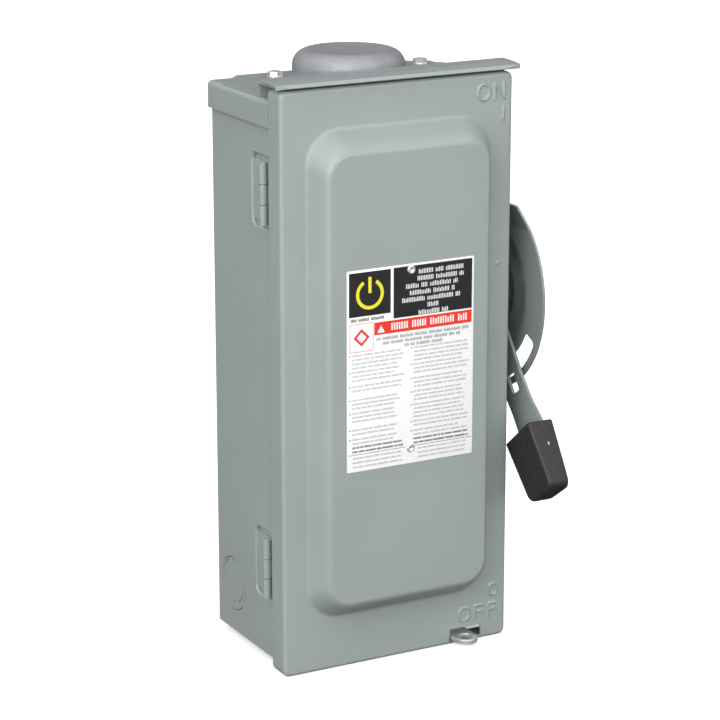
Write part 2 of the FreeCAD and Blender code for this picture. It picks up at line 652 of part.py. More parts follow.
def label_rivets():
    """Two domed rivets through the label that hold the chart clip behind it."""
    rivets = []
    for height in LABEL_RIVETS_H:
        face = PANEL_FACE_Y - LABEL_T
        head = Part.makeSphere(4.2, Vector(0, face + 3.2, height))
        head = head.common(box(-4, 4, face - 2, face, height - 4, height + 4))
        shank = rod((0, face, height), (0, 1, 0), 1.65, LABEL_T + DOOR_SHEET + 1.6)
        tail = rod((0, face + LABEL_T + DOOR_SHEET + 1.0, height), (0, 1, 0), 2.7, 0.9)
        rivets.append(union([head, shank, tail]))
    return group(rivets)


def chart_clip():
    """Thin strip riveted inside the door that holds the wiring card."""
    back = PANEL_FACE_Y + DOOR_SHEET
    strip = box(-9, 9, back, back + 1.0, LABEL_RIVETS_H[1] - 9, LABEL_RIVETS_H[0] + 9)
    strip = round_edges(strip, 4.0, along(1))
    for height in LABEL_RIVETS_H:
        strip = strip.cut(rod((0, back - 1, height), (0, 1, 0), 1.7, 4))
    return strip


def door_staple():
    """Bracket inside the door whose bar is caught by the interlock hook when the switch is on."""
    plate = box(65.8, 76.4, DOOR_IN_Y, DOOR_IN_Y + 1.2, PIVOT_H + 1, PIVOT_H + 17)
    bar_y = PIVOT_Y - 37.5
    legs = [box(x, x + 1.2, DOOR_IN_Y, bar_y + 1.5, PIVOT_H + 7, PIVOT_H + 11) for x in (66.0, 73.4)]
    bar = box(66.0, 74.6, bar_y, bar_y + 1.5, PIVOT_H + 7, PIVOT_H + 11)
    return union([plate, bar] + legs)


# ---------------------------------------------------------------- hasp
def padlock_hasp():
    """Flat bar under the bottom wall whose round eye passes out through the door's slot."""
    top = BODY_BOTTOM
    bar = box(HASP_X - HASP_R, HASP_X + HASP_R, HASP_Y, HASP_REAR_Y, top - HASP_T, top)
    eye = rod((HASP_X, HASP_Y, top - HASP_T), (0, 0, 1), HASP_R, HASP_T)
    hasp = union([bar, eye])
    hasp = hasp.cut(rod((HASP_X, HASP_Y, top - HASP_T - 1), (0, 0, 1), HASP_HOLE_R, HASP_T + 2))
    hasp = round_edges(hasp, 0.4, lambda e: abs(e.CenterOfMass.z - top) < 1e-3
                       or abs(e.CenterOfMass.z - top + HASP_T) < 1e-3)
    return hasp


def hasp_rivets():
    """Two spot-weld buttons that join the hasp to the bottom wall."""
    return group(rod((HASP_X, y, BODY_BOTTOM - HASP_T - 0.8), (0, 0, 1), 3.0, 0.8)
                 for y in (HASP_REAR_Y - 6, HASP_REAR_Y - 18))


# ---------------------------------------------------------------- handle
def arm_point(x, u, v):
    """Point of the handle at the off position, u along the arm from the pivot and v across it."""
    forward, side = hand_frame(OFF_ANGLE)
    return Vector(x, PIVOT_Y + u * forward[0] + v * side[0], PIVOT_H + u * forward[1] + v * side[1])


def in_arm_plane(points, x0, thickness):
    """Prism from (along, across) points measured from the pivot at the off position."""
    return prism([arm_point(x0, u, v) for u, v in points], (thickness, 0, 0))


def arc_points(centre_u, centre_v, radius, first, last, steps):
    """Points on an arc in the arm's own (along, across) plane, angles in degrees."""
    points = []
    for k in range(steps + 1):
        t = math.radians(first + (last - first) * k / steps)
        points.append((centre_u + radius * math.cos(t), centre_v + radius * math.sin(t)))
    return points


def arm_blank():
    """The arm before it is pierced: round root, straight middle, and a flare into the grip."""
    root_r, flare_start, flare_end, tip_w, tip_cut = 17.0, 84.0, 104.0, 11.0, 4.0
    start = math.degrees(math.asin(ARM_HALF_W / root_r))
    side = [(flare_start, ARM_HALF_W), (GRIP_START, ARM_FLARE), (flare_end, ARM_FLARE),
            (ARM_LEN - tip_cut, tip_w), (ARM_LEN, tip_w - tip_cut)]
    outline = arc_points(0, 0, root_r, start, 360 - start, 32)
    outline += [(u, -v) for u, v in side] + side[::-1]
    return in_arm_plane(outline, ARM_X, ARM_T)


def handle_arm():
    """Flat steel arm with a round root and a padlock slot."""
    corner = 1.5
    first, last, offset = ARM_SLOT[0], ARM_SLOT[1], 1.5
    slot = in_arm_plane([(first, offset - ARM_SLOT_HALF_W), (last, offset - ARM_SLOT_HALF_W),
                         (last, offset + ARM_SLOT_HALF_W), (first, offset + ARM_SLOT_HALF_W)],
                        ARM_X - 1, ARM_T + 2)
    slot = round_edges(slot, corner, along(0))
    return arm_blank().cut(slot).cut(rod((ARM_X - 1, PIVOT_Y, PIVOT_H), (1, 0, 0), SHAFT_R, ARM_T + 2))


def handle_grip():
    """Dipped vinyl grip: a tapered block with round corners that sleeves the end of the arm."""
    edge_r = 1.6

    def section(front_u, rear_u, rear, thickness):
        low, high = GRIP_MID_X - thickness / 2, GRIP_MID_X + thickness / 2
        corners = [arm_point(low, rear_u, -rear), arm_point(high, rear_u, -rear),
                   arm_point(high, front_u, GRIP_FRONT), arm_point(low, front_u, GRIP_FRONT)]
        return Part.makePolygon(corners + corners[:1])

    block = Part.makeLoft([section(GRIP_START, GRIP_START + GRIP_SKEW, GRIP_REAR, GRIP_T),
                           section(GRIP_END, GRIP_END, GRIP_TIP_REAR, GRIP_TIP_T)], True, True)
    forward, side = hand_frame(OFF_ANGLE)

    def along_arm(edge):
        c = edge.CenterOfMass
        return (c.y - PIVOT_Y) * forward[0] + (c.z - PIVOT_H) * forward[1]

    block = round_edges(block, GRIP_TIP_R, both(along(0), lambda e: along_arm(e) > GRIP_END - 1))
    block = round_edges(block, edge_r, lambda e: along_arm(e) > GRIP_START + GRIP_SKEW + 1)
    return block.cut(arm_blank())


def operating_shaft():
    """Shaft through the right wall, with a collar behind the arm and a threaded nose."""
    collar_x = BODY_HALF_W + 2.3
    return revolved_x([(60.6, 0), (60.6, SHAFT_R), (collar_x, SHAFT_R), (collar_x, 9.5), (ARM_X, 9.5),
                       (ARM_X, SHAFT_R), (ARM_X + ARM_T + 4.5, SHAFT_R), (ARM_X + ARM_T + 5.0, 5.4),
                       (ARM_X + ARM_T + 5.0, 0)])


def handle_nut():
    """Thin hexagon nut that clamps the arm on the shaft."""
    x = ARM_X + ARM_T
    hexagon = [(x, PIVOT_Y + 11.0 * math.cos(math.radians(60 * k)),
                PIVOT_H + 11.0 * math.sin(math.radians(60 * k))) for k in range(6)]
    return prism(hexagon, (4.0, 0, 0)).cut(rod((x - 1, PIVOT_Y, PIVOT_H), (1, 0, 0), SHAFT_R, 6))


def shaft_bushing():
    """Flanged bearing bush in the right wall."""
    inside, outside = WALL_IN_X - 1.4, BODY_HALF_W + 2.0
    return revolved_x([(inside, SHAFT_BORE_R), (inside, 12.0), (WALL_IN_X, 12.0), (WALL_IN_X, SHAFT_R + 3.0),
                       (BODY_HALF_W, SHAFT_R + 3.0), (BODY_HALF_W, 13.5), (outside, 13.5),
                       (outside, SHAFT_BORE_R)])


def handle_guard():
    """Fixed round guard outside the arm: dished middle, folded top, arc slot and a foot on the wall."""
    dish = [(100.2, 0), (100.2, 19), (97.6, 25), (97.2, 33), (GUARD_X, 43), (GUARD_X, GUARD_R)]
    profile = [(x, r) for x, r in dish] + [(x + SHEET, r) for x, r in dish[::-1]]
    plate = revolved_x(profile)
    plate = plate.cut(box(60, 130, -300, 100, GUARD_FOLD, GUARD_FOLD + 200))
    plate = plate.cut(box(60, 130, -300, 100, GUARD_BOTTOM - 200, GUARD_BOTTOM))
    plate = plate.cut(box(60, 130, GUARD_REAR_Y, 200, 0, 500))
    plate = plate.cut(arc_slot(-76.0, -24.8)).cut(top_slot())
    rear = [(GUARD_X + SHEET, GUARD_REAR_Y - 8), (GUARD_X + SHEET, GUARD_REAR_Y + SHEET),
            (BODY_HALF_W + SHEET, GUARD_REAR_Y + SHEET), (BODY_HALF_W + SHEET, -3.0)]
    foot = bent_xy(rear, SHEET, PIVOT_H - 30, PIVOT_H + 30)
    return union([plate, folded_top(), foot])


def folded_top():
    """Top of the guard, leaning towards the wall side and cut off straight at its front."""
    lean = math.tan(math.radians(GUARD_TILT)) * (GUARD_TOP - GUARD_FOLD)
    outline = [(GUARD_X, GUARD_FOLD), (GUARD_X + SHEET, GUARD_FOLD),
               (GUARD_X + SHEET - lean, GUARD_TOP), (GUARD_X - lean, GUARD_TOP)]
    strip = prism([(x, -130, z) for x, z in outline], (0, 130 + GUARD_REAR_Y, 0))
    rim_y = PIVOT_Y - math.sqrt(GUARD_R ** 2 - (GUARD_FOLD - PIVOT_H) ** 2)
    side = [(GUARD_REAR_Y, GUARD_FOLD - 1), (rim_y, GUARD_FOLD - 1), (rim_y, GUARD_FOLD),
            (GUARD_TOP_FRONT_Y, GUARD_TOP), (GUARD_REAR_Y, GUARD_TOP)]
    return strip.common(prism([(70, y, z) for y, z in side], (40, 0, 0)))


def arc_slot(low, high):
    """Waste of the arc-shaped padlock slot, between two angles above straight forward."""
    inner, outer, corner = 50.2, 62.2, 3.0
    ring = revolved_x([(80, inner), (120, inner), (120, outer), (80, outer)])
    reach = 200.0
    wedge = [(80, PIVOT_Y, PIVOT_H)]
    for angle in (low, (low + high) / 2, high):
        forward, _ = hand_frame(angle)
        wedge.append((80, PIVOT_Y + reach * forward[0], PIVOT_H + reach * forward[1]))
    return round_edges(ring.common(prism(wedge, (40, 0, 0))), corner, along(0))


def top_slot():
    """Waste of the straight slot below the guard's fold."""
    half_h, height, front_y, rear_y = 3.5, 261.0, -71.8, -60.0
    ends = [rod((80, y, height), (1, 0, 0), half_h, 40) for y in (front_y, rear_y)]
    return union(ends + [box(80, 120, front_y, rear_y, height - half_h, height + half_h)])


def guard_rivets():
    """Three rivets through the guard's foot."""
    rivets = []
    for offset in (-22.0, 0.0, 22.0):
        head = Part.makeSphere(4.2, Vector(BODY_HALF_W + SHEET - 2.9, -8.0, PIVOT_H + offset))
        head = head.common(box(BODY_HALF_W + SHEET, 90, -14, 0, PIVOT_H + offset - 6, PIVOT_H + offset + 6))
        rivets.append(head)
    return group(rivets)


# ---------------------------------------------------------------- mechanism inside
def drive_crank():
    """Plate on the shaft whose hook catches the door's staple at the on position."""
    on_shape = [(0, -6.5), (44.0, -6.5), (44.6, 5.0), (43.0, 12.5), (41.0, 12.5), (41.0, 4.0), (0, 4.0)]
    plate = prism([(CRANK_X, PIVOT_Y - u, PIVOT_H + v) for u, v in on_shape], (CRANK_T, 0, 0))
    hub = rod((CRANK_X, PIVOT_Y, PIVOT_H), (1, 0, 0), 12.0, CRANK_T)
    crank = union([plate, hub]).cut(rod((CRANK_X - 1, PIVOT_Y, PIVOT_H), (1, 0, 0), SHAFT_R, CRANK_T + 2))
    return turned(crank, -THROW)


def toggle_spring():
    """Torsion spring round the shaft; its straight leg leaves the top of the coil for the switch base."""
    wire, mean_r, turns, pitch, steps = 0.8, 9.6, 3.5, 1.75, 56
    start_x = 61.8
    climb = pitch / (2 * math.pi)
    leg = BASE_FRONT_Y - 0.6 - PIVOT_Y

    def section(x, y, z, direction):
        circle = Part.Circle(Vector(start_x + x, PIVOT_Y + y, PIVOT_H + z), direction, wire)
        return Part.Wire([circle.toShape()])

    sections = [section(-climb * leg / mean_r, leg, mean_r, Vector(climb, -mean_r, 0))]
    for k in range(steps + 1):
        t = 2 * math.pi * turns * k / steps
        y, z = -mean_r * math.sin(t), mean_r * math.cos(t)
        sections.append(section(climb * t, y, z, Vector(climb, -z, y)))
    return Part.makeLoft(sections, True, True)


def crossbar():
    """Insulating rotor with a round journal at each end and a slot for each blade."""
    half, journal_r = 9.0, 4.0
    left, right = -31.0, 55.0
    bar = box(left, right, PIVOT_Y - half, PIVOT_Y + half, PIVOT_H - half, PIVOT_H + half)
    bar = round_edges(bar, 4.0, along(0))
    journals = rod((left - 5.5, PIVOT_Y, PIVOT_H), (1, 0, 0), journal_r, right - left + 11.0 - 0.4)
    rotor = union([bar, journals])
    for x in POLES_X:
        rotor = rotor.cut(blade_blank(x))
    return turned(rotor, -THROW * ROTOR_RATIO)


def blade_blank(x):
    """One double-break blade at the on position, upright through the rotor."""
    blade = box(x - BLADE_T / 2, x + BLADE_T / 2, PIVOT_Y - BLADE_HALF_W, PIVOT_Y + BLADE_HALF_W,
                PIVOT_H - BLADE_R, PIVOT_H + BLADE_R)
    return round_edges(blade, 3.0, along(0))


def moving_blades():
    """The two copper blades, tilted to the off position."""
    return group(turned(blade_blank(x), -THROW * ROTOR_RATIO) for x in POLES_X)


# ---------------------------------------------------------------- switch base and current path
def switch_base():
    """Moulded base behind the contacts, with rotor cheeks and posts for the upper parts."""
    z0, z1 = 174.0, 306.0
    plate = box(-64.0, 64.0, BASE_FRONT_Y, BASE_BACK_Y, z0, z1)
    pieces = [round_edges(plate, 3.0, along(1))]
    for x0, x1 in ((-36.4, -31.4), (55.4, 60.0)):
        cheek = box(x0, x1, PIVOT_Y - 11, BASE_FRONT_Y, PIVOT_H - 13, PIVOT_H + 13)
        pieces.append(round_edges(cheek, 5.0, both(along(0), at(1, PIVOT_Y - 11))))
    for x in POLES_X:
        pieces.append(box(x - 9, x + 9, -39.0, BASE_FRONT_Y, 266.0, 302.0))
    for x in (-62.0, 58.0):
        for z in (z0 + 8, z1 - 8):
            pieces.append(box(x - 2, x + 2, BASE_BACK_Y, WALL_IN_Y, z - 6, z + 6))
    base = union(pieces)
    bore = rod((-40, PIVOT_Y, PIVOT_H), (1, 0, 0), 4.06, 110)
    for x, z in base_screw_places():
        base = base.cut(rod((x, BASE_FRONT_Y - 1, z), (0, 1, 0), 2.3, 14))
    return base.cut(bore)


def base_screw_places():
    """Centres (x, z) of the screws through both mouldings."""
    return [(x, z) for x in (-47.0, 50.0) for z in (182.0, 298.0)] + [(6.0, 70.0), (6.0, 162.0)]


def load_base():
    """Lower moulding that carries the fuse clips and load lugs."""
    plate = box(-38.0, 50.0, BASE_FRONT_Y, BASE_BACK_Y, 58.0, 173.6)
    pieces = [round_edges(plate, 3.0, along(1))]
    for x in POLES_X:
        pieces.append(box(x - 9, x + 9, POST_FRONT_Y, BASE_FRONT_Y, 62.0, 112.0))
        pieces.append(box(x - 9, x + 9, POST_FRONT_Y, BASE_FRONT_Y, 154.0, 173.6))
    pieces.append(box(5.2, 6.8, -60.0, BASE_FRONT_Y, 80.0, 155.0))
    for x in (-36.0, 48.0):
        for z in (66.0, 166.0):
            pieces.append(box(x - 2, x + 2, BASE_BACK_Y, WALL_IN_Y, z - 6, z + 6))
    base = union(pieces)
    for x, z in base_screw_places():
        base = base.cut(rod((x, BASE_FRONT_Y - 1, z), (0, 1, 0), 2.3, 14))
    return base


def base_screws():
    """Screws that hold both mouldings to the back wall."""
    return group(slotted_screw((x, BASE_FRONT_Y, z), (0, -1, 0), 4.0, 2.6, 2.1,
                               WALL_IN_Y - BASE_FRONT_Y, (1, 0, 0)) for x, z in base_screw_places())


def jaw_leaves(x, y0, y1, z0, z1):
    """Two spring leaves, one each side of a blade."""
    inner = BLADE_T / 2 + JAW_GAP
    return [box(x + side * inner + (0 if side > 0 else -JAW_T), x + side * inner + (JAW_T if side > 0 else 0),
                y0, y1, z0, z1) for side in (-1, 1)]


def line_jaws():
    """Upper fixed contacts: leaves, a rear web and a strap up under the line lug."""
    jaws = []
    web_y = PIVOT_Y + BLADE_HALF_W + 1.4
    half = BLADE_T / 2 + JAW_GAP + JAW_T
    for x in POLES_X:
        leaves = jaw_leaves(x, PIVOT_Y - 7.5, web_y + 0.5, PIVOT_H + 23, PIVOT_H + 38)
        web = box(x - half, x + half, web_y, web_y + JAW_T, PIVOT_H + 23, PIVOT_H + 38)
        riser = bent_yz([(web_y + JAW_T + STRAP_T, PIVOT_H + 27), (web_y + JAW_T + STRAP_T, 262.0),
                         (-39.0, 264.0), (-39.0, 300.0)], STRAP_T, x - 6, x + 6)
        jaws.append(union(leaves + [web, riser]))
    return group(jaws)


def load_jaws():
    """Lower fixed contacts: leaves, a front web and a strap back to the upper fuse clip."""
    jaws = []
    web_y = PIVOT_Y - BLADE_HALF_W - 1.4
    half = BLADE_T / 2 + JAW_GAP + JAW_T
    for x in POLES_X:
        leaves = jaw_leaves(x, web_y - 0.5, PIVOT_Y + 7.5, PIVOT_H - 38, PIVOT_H - 23)
        web = box(x - half, x + half, web_y - JAW_T, web_y, PIVOT_H - 38, PIVOT_H - 23)
        strap_y, rear_y = web_y - STRAP_T, POST_FRONT_Y - STRAP_T
        strap = bent_yz([(strap_y, PIVOT_H - 26), (strap_y, 178.4), (rear_y, 178.4), (rear_y, 155.0)],
                        STRAP_T, x - 6, x + 6)
        jaws.append(union(leaves + [web, strap]))
    return group(jaws)


def fuse_clips():
    """Spring clips that grip the fuse ferrules, four in all."""
    clips = []
    inner, outer = FUSE_R + 0.05, FUSE_R + 1.15
    back_y = POST_FRONT_Y - STRAP_T
    for x in POLES_X:
        for z in (FUSE_BOTTOM + 2.0, FUSE_BOTTOM + FUSE_LEN - 14.0):
            ring = tube((x, FUSE_Y, z), (0, 0, 1), outer, inner, 12.0)
            mouth = box(x - 6.5, x + 6.5, FUSE_Y - 20, FUSE_Y - 5, z - 1, z + 13)
            lips = [box(x + side * 6.9 - 0.5, x + side * 6.9 + 0.5, FUSE_Y - 12.5, FUSE_Y - 8.2, z, z + 12)
                    for side in (-1, 1)]
            foot = box(x - 5.5, x + 5.5, FUSE_Y + inner, back_y, z, z + 12)
            clips.append(union([ring.cut(mouth), foot] + lips))
    return group(clips)


def fuse_tubes():
    """Fibre tubes of the two cartridge fuses."""
    tubes = []
    for x in POLES_X:
        tubes.append(tube((x, FUSE_Y, FUSE_BOTTOM + 1.2), (0, 0, 1), FUSE_R - 0.5, FUSE_R - 2.5,
                          FUSE_LEN - 2.4))
    return group(tubes)


def fuse_ferrules():
    """Metal end caps of the fuses."""
    caps = []
    for x in POLES_X:
        for z, cavity in ((FUSE_BOTTOM, 1.2), (FUSE_BOTTOM + FUSE_LEN - FERRULE_LEN, -1.2)):
            cap = rod((x, FUSE_Y, z), (0, 0, 1), FUSE_R, FERRULE_LEN)
            caps.append(cap.cut(rod((x, FUSE_Y, z + cavity), (0, 0, 1), FUSE_R - 0.5, FERRULE_LEN)))
    return group(caps)


def load_straps():
    """Straps from the lower fuse clips down under the load lugs."""
    straps = []
    for x in POLES_X:
        straps.append(box(x - 6, x + 6, POST_FRONT_Y - STRAP_T, POST_FRONT_Y, 64.0, FUSE_BOTTOM + 14.0))
    return group(straps)


def box_lug(x, back_y, z):
    """Wire connector: a block with an upright wire hole and a set-screw hole in its front."""
    block = box(x - LUG_W / 2, x + LUG_W / 2, back_y - LUG_D, back_y, z, z + LUG_H)
    block = round_edges(block, 1.2, along(2))
    wire_y = back_y - LUG_WIRE_R - 2.0
    block = block.cut(rod((x, wire_y, z - 1), (0, 0, 1), LUG_WIRE_R, LUG_H + 2))
    return block.cut(rod((x, back_y - LUG_D - 1, z + LUG_H / 2), (0, 1, 0), LUG_SCREW_R,
                         LUG_D + 1 - LUG_WIRE_R - 2.0))


def lug_screw(x, back_y, z):
    """Hexagon-socket set screw of a lug."""
    front = back_y - LUG_D - 2.0
    screw = rod((x, front, z + LUG_H / 2), (0, 1, 0), LUG_SCREW_R - FIT, 7.5)
    hexagon = [(x + 2.3 * math.cos(math.radians(60 * k)), front,
                z + LUG_H / 2 + 2.3 * math.sin(math.radians(60 * k))) for k in range(6)]
    return screw.cut(prism(hexagon, (0, 3.5, 0)))


def power_lug_places():
    """Back face and lower edge of each line and load lug."""
    places = [(x, -39.0 - STRAP_T, LINE_LUG_H) for x in POLES_X]
    return places, [(x, POST_FRONT_Y - STRAP_T, LOAD_LUG_H) for x in POLES_X]


def arc_chute_frames():
    """Fibre side walls and roof round each upper contact."""
    frames = []
    for x in POLES_X:
        walls = [box(x + side * 10.2 - 0.8, x + side * 10.2 + 0.8, -84.0, BASE_FRONT_Y, 241.0, 264.5)
                 for side in (-1, 1)]
        roof = box(x - 11.0, x + 11.0, -84.0, -60.0, 264.5, 266.0)
        frames.append(union(walls + [roof]))
    return group(frames)


def arc_plates():
    """Slotted steel plates that stretch and cool the arc."""
    plates = []
    for x in POLES_X:
        for y in (-82.5, -77.5, -72.5, -67.5):
            plate = box(x - 9.4, x + 9.4, y, y + 1.2, 243.0, 264.5)
            plates.append(plate.cut(box(x - 3.0, x + 3.0, y - 1, y + 3, 240.0, 261.5)))
    return group(plates)


def line_shield():
    """Insulating cover in front of the line lugs."""
    front = bent_yz([(-64.0, 306.0), (-64.0, 268.5), (-60.5, 268.5)], -1.6, -32.0, 44.0)
    sides = [box(x, x + 1.6, -65.6, BASE_FRONT_Y, 272.0, 304.0) for x in (-32.0, 42.4)]
    return union([front] + sides)


def neutral_assembly():
    """Insulator, bar, lugs and screws of the solid neutral, as four shapes."""
    x, half, back = NEUTRAL_X, 7.0, -14.0
    insulator = box(x - 9, x + 9, back, WALL_IN_Y, 92.0, 168.0)
    insulator = round_edges(insulator, 2.5, along(1))
    bar = box(x - half, x + half, back - 3.0, back, 96.0, 164.0)
    places = [(x, back - 3.0, 98.0), (x, back - 3.0, 143.0)]
    lugs = group(box_lug(*place) for place in places)
    screws = group(lug_screw(*place) for place in places)
    return insulator, bar, lugs, screws


def ground_bar():
    """Ground bar on the back wall near the bottom."""
    bar = box(34.0, 66.0, WALL_IN_Y - 9.0, WALL_IN_Y, 26.0, 36.0)
    bar = round_edges(bar, 1.0, along(0))
    for x in (40.0, 50.0, 60.0):
        bar = bar.cut(rod((x, WALL_IN_Y - 5.0, 25.0), (0, 0, 1), 2.6, 12))
        bar = bar.cut(rod((x, WALL_IN_Y - 10.0, 31.0), (0, 1, 0), 2.0, 5.0))
    return bar


def ground_screws():
    """Green wire screws of the ground bar."""
    front = WALL_IN_Y - 9.0
    return group(slotted_screw((x, front, 31.0), (0, -1, 0), 3.6, 2.2, 2.0 - FIT, 2.2, (1, 0, 0))
                 for x in (40.0, 50.0, 60.0))


def build():
    """Write every node."""
    save("enclosure_wrapper", enclosure_wrapper())
    save("bottom_endwall", bottom_endwall())
    save("top_endcap", top_endcap())
    save("drip_shield", drip_shield())
    save("hub_gasket", hub_gasket())
    save("hub_closing_cap", hub_closing_cap())
    save("hub_cap_screws", hub_cap_screws())
    save("body_hinge_leaves", body_hinge_leaves())
    save("door_hinge_leaves", door_hinge_leaves())
    save("hinge_pins", hinge_pins())
    save("door_panel", door_panel())
    save("door_label", door_label())
    save("label_rivets", label_rivets())
    save("chart_clip", chart_clip())
    save("door_staple", door_staple())
    save("padlock_hasp", padlock_hasp())
    save("hasp_rivets", hasp_rivets())
    save("handle_arm", handle_arm())
    save("handle_grip", handle_grip())
    save("operating_shaft", operating_shaft())
    save("handle_nut", handle_nut())
    save("shaft_bushing", shaft_bushing())
    save("handle_guard", handle_guard())
    save("guard_rivets", guard_rivets())
    save("drive_crank", drive_crank())
    save("toggle_spring", toggle_spring())
    save("crossbar", crossbar())
    save("moving_blades", moving_blades())
    save("switch_base", switch_base())
    save("load_base", load_base())
    save("base_screws", base_screws())
    save("line_jaws", line_jaws())
    save("load_jaws", load_jaws())
    save("fuse_clips", fuse_clips())
    save("fuse_tubes", fuse_tubes())
    save("fuse_ferrules", fuse_ferrules())
    save("load_straps", load_straps())
    line_places, load_places = power_lug_places()
    save("line_lugs", group(box_lug(*place) for place in line_places))
    save("line_lug_screws", group(lug_screw(*place) for place in line_places))
    save("load_lugs", group(box_lug(*place) for place in load_places))
    save("load_lug_screws", group(lug_screw(*place) for place in load_places))
    save("arc_chute_frames", arc_chute_frames())
    save("arc_plates", arc_plates())
    save("line_shield", line_shield())
    insulator, bar, lugs, screws = neutral_assembly()
    save("neutral_insulator", insulator)
    save("neutral_bar", bar)
    save("neutral_lugs", lugs)
    save("neutral_lug_screws", screws)
    save("ground_bar", ground_bar())
    save("ground_screws", ground_screws())


build()
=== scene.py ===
"""Looks of the AC disconnect box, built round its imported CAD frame.

Shapes here are worked out in millimetres in the frame's own axes (+X right, +Y to the wall, +Z up) and
turned into metres when a mesh is made.  "Height" is counted from the door's lower edge.
"""

import json
import math
import random

import bmesh
import bpy
import numpy as np
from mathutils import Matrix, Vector


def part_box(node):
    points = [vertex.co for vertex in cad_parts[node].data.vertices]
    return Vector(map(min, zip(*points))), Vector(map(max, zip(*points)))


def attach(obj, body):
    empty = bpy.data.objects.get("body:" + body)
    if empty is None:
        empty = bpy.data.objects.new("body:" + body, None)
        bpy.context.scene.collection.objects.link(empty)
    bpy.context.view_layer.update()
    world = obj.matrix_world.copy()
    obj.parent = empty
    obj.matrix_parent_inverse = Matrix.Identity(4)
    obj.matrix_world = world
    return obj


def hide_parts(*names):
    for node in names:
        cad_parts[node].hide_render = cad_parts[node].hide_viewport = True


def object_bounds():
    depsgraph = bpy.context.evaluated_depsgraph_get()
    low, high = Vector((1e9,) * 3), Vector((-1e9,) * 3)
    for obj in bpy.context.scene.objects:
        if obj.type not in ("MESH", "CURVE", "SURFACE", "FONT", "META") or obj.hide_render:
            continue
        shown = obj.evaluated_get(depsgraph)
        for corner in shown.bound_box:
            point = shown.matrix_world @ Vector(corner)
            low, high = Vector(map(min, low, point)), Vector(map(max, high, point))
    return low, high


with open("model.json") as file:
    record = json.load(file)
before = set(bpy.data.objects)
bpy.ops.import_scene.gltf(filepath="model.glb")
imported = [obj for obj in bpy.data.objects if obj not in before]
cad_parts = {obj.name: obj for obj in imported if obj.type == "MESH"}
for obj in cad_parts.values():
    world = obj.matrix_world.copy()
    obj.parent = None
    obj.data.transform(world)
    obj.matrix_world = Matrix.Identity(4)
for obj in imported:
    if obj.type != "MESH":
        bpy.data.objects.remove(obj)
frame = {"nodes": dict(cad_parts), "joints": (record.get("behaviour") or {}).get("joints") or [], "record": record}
CAD_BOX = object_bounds()
MM = 0.001


def node_box(node):
    """Lowest and highest corner of a CAD node, in millimetres."""
    low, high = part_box(node)
    return low / MM, high / MM


DOOR_LOW, DOOR_HIGH = node_box("door_panel")
FLOOR_H = DOOR_LOW.z         # frame height of the door's lower edge

# ---------------------------------------------------------------- sizes, in millimetres
# door
SHEET = 1.2
BEND = 2.4                   # outside radius of the bends round the front
CORNER = 2.2                 # radius of the front face's corners, inside the bend
PANEL_RISE = 15.5
FRONT_Y = DOOR_LOW.y + PANEL_RISE
FOOT_HALF_W, FACE_HALF_W = 63.5, 56.3
FOOT_H, FACE_H = (35.7, 344.2), (45.5, 333.8)
FOOT_CORNER, FACE_CORNER = 22.0, 16.0
SHOULDER, HOLLOW = 0.32, 0.15        # rounding at the top and foot of the panel's wall, over its run
EMBOSS = 0.9                 # height of the raised marks
STROKE = 1.2                 # width of their strokes
STROKE_SOFT = 0.95           # run of a stroke's sloped edge
ON_H, OFF_H = (352.8, 363.5), (14.0, 24.0)
PIP_X, PIP_H = 70.7, 249.5   # small raised pip beside the panel
PIP_RISE = 0.45
SLOT_X, SLOT_H = (38.9, 62.0), (2.6, 10.3)
FLANGE_NOTCH = 3.2
HINGE_HEIGHTS = (304.7, 66.1)
WELD_INSET = 3.6             # from the flange's rear edge to the dent of a spot weld
WELD_DEPTH, WELD_R = 0.35, 1.6

# handle and guard; angles are measured from straight forward
ARM_LOW, ARM_HIGH = node_box("handle_arm")
JOINTS = {joint["name"]: joint for joint in frame["joints"]}
PIVOT = Vector(JOINTS["handle_turn"]["pos_m"]) / MM
OFF_ANGLE = math.radians(-54.5)
ARM_SHEET = ARM_HIGH.x - ARM_LOW.x
ARM_ROOT_R, ARM_HALF_W, ARM_LEN = 17.0, 13.2, 137.0
ARM_FLARE, ARM_TIP_TAPER = 2.2, 4.4  # the half width grows at the grip, then shrinks inside it
ARM_ROLL = 3.0                       # how far the arm's edges roll out as they near the grip
ARM_SLOT_U, ARM_SLOT_V = (62.5, 75.3), (-3.0, 6.0)
ARM_SLOT_CORNER = 1.5
SHAFT_R = 6.0
GRIP_START, GRIP_END = 100.3, 145.6  # along the arm
GRIP_X = 90.0                        # middle plane of the grip
GRIP_HALF_T, GRIP_THINNING = 9.2, 1.9
GRIP_REAR, GRIP_REAR_TAPER = 18.1, 3.9
GRIP_FRONT = 16.5
GRIP_SKEW = 2.6                      # the open end's rear edge lies this much further along
GRIP_TIP_R, GRIP_EDGE_R = 6.5, 1.7
GRIP_MOUTH = ((104.5, 3.0), (101.6, 2.6), (100.6, 2.2), (100.3, 1.5),
              (100.35, 0.7), (100.7, 0.15), (101.3, 0.0))     # rolled rim: (along the arm, inset)
GUARD_SHEET = 1.5
GUARD_R = 66.7
GUARD_X = 94.0
GUARD_STEPS = ((3.2, 33, 48), (3.0, 19, 27))    # pressed-out steps: depth and the slope's two radii
GUARD_TILT = math.radians(25.0)
GUARD_LOW, GUARD_HIGH = node_box("handle_guard")
GUARD_REAR_Y = -16.2
GUARD_FOLD_H, GUARD_TOP_FRONT_Y = 268.0, -96.7
ARC_SLOT_R, ARC_SLOT_CORNER = (50.2, 62.2), 3.0
ARC_SLOT_TURN = (math.radians(-76.0), math.radians(-24.8))
TOP_SLOT_H, TOP_SLOT_HALF_H = 261.0, 3.5
TOP_SLOT_Y = (-74.0, -62.2)
FOOT_HALF_H, FOOT_BEND = 30.0, 3.0
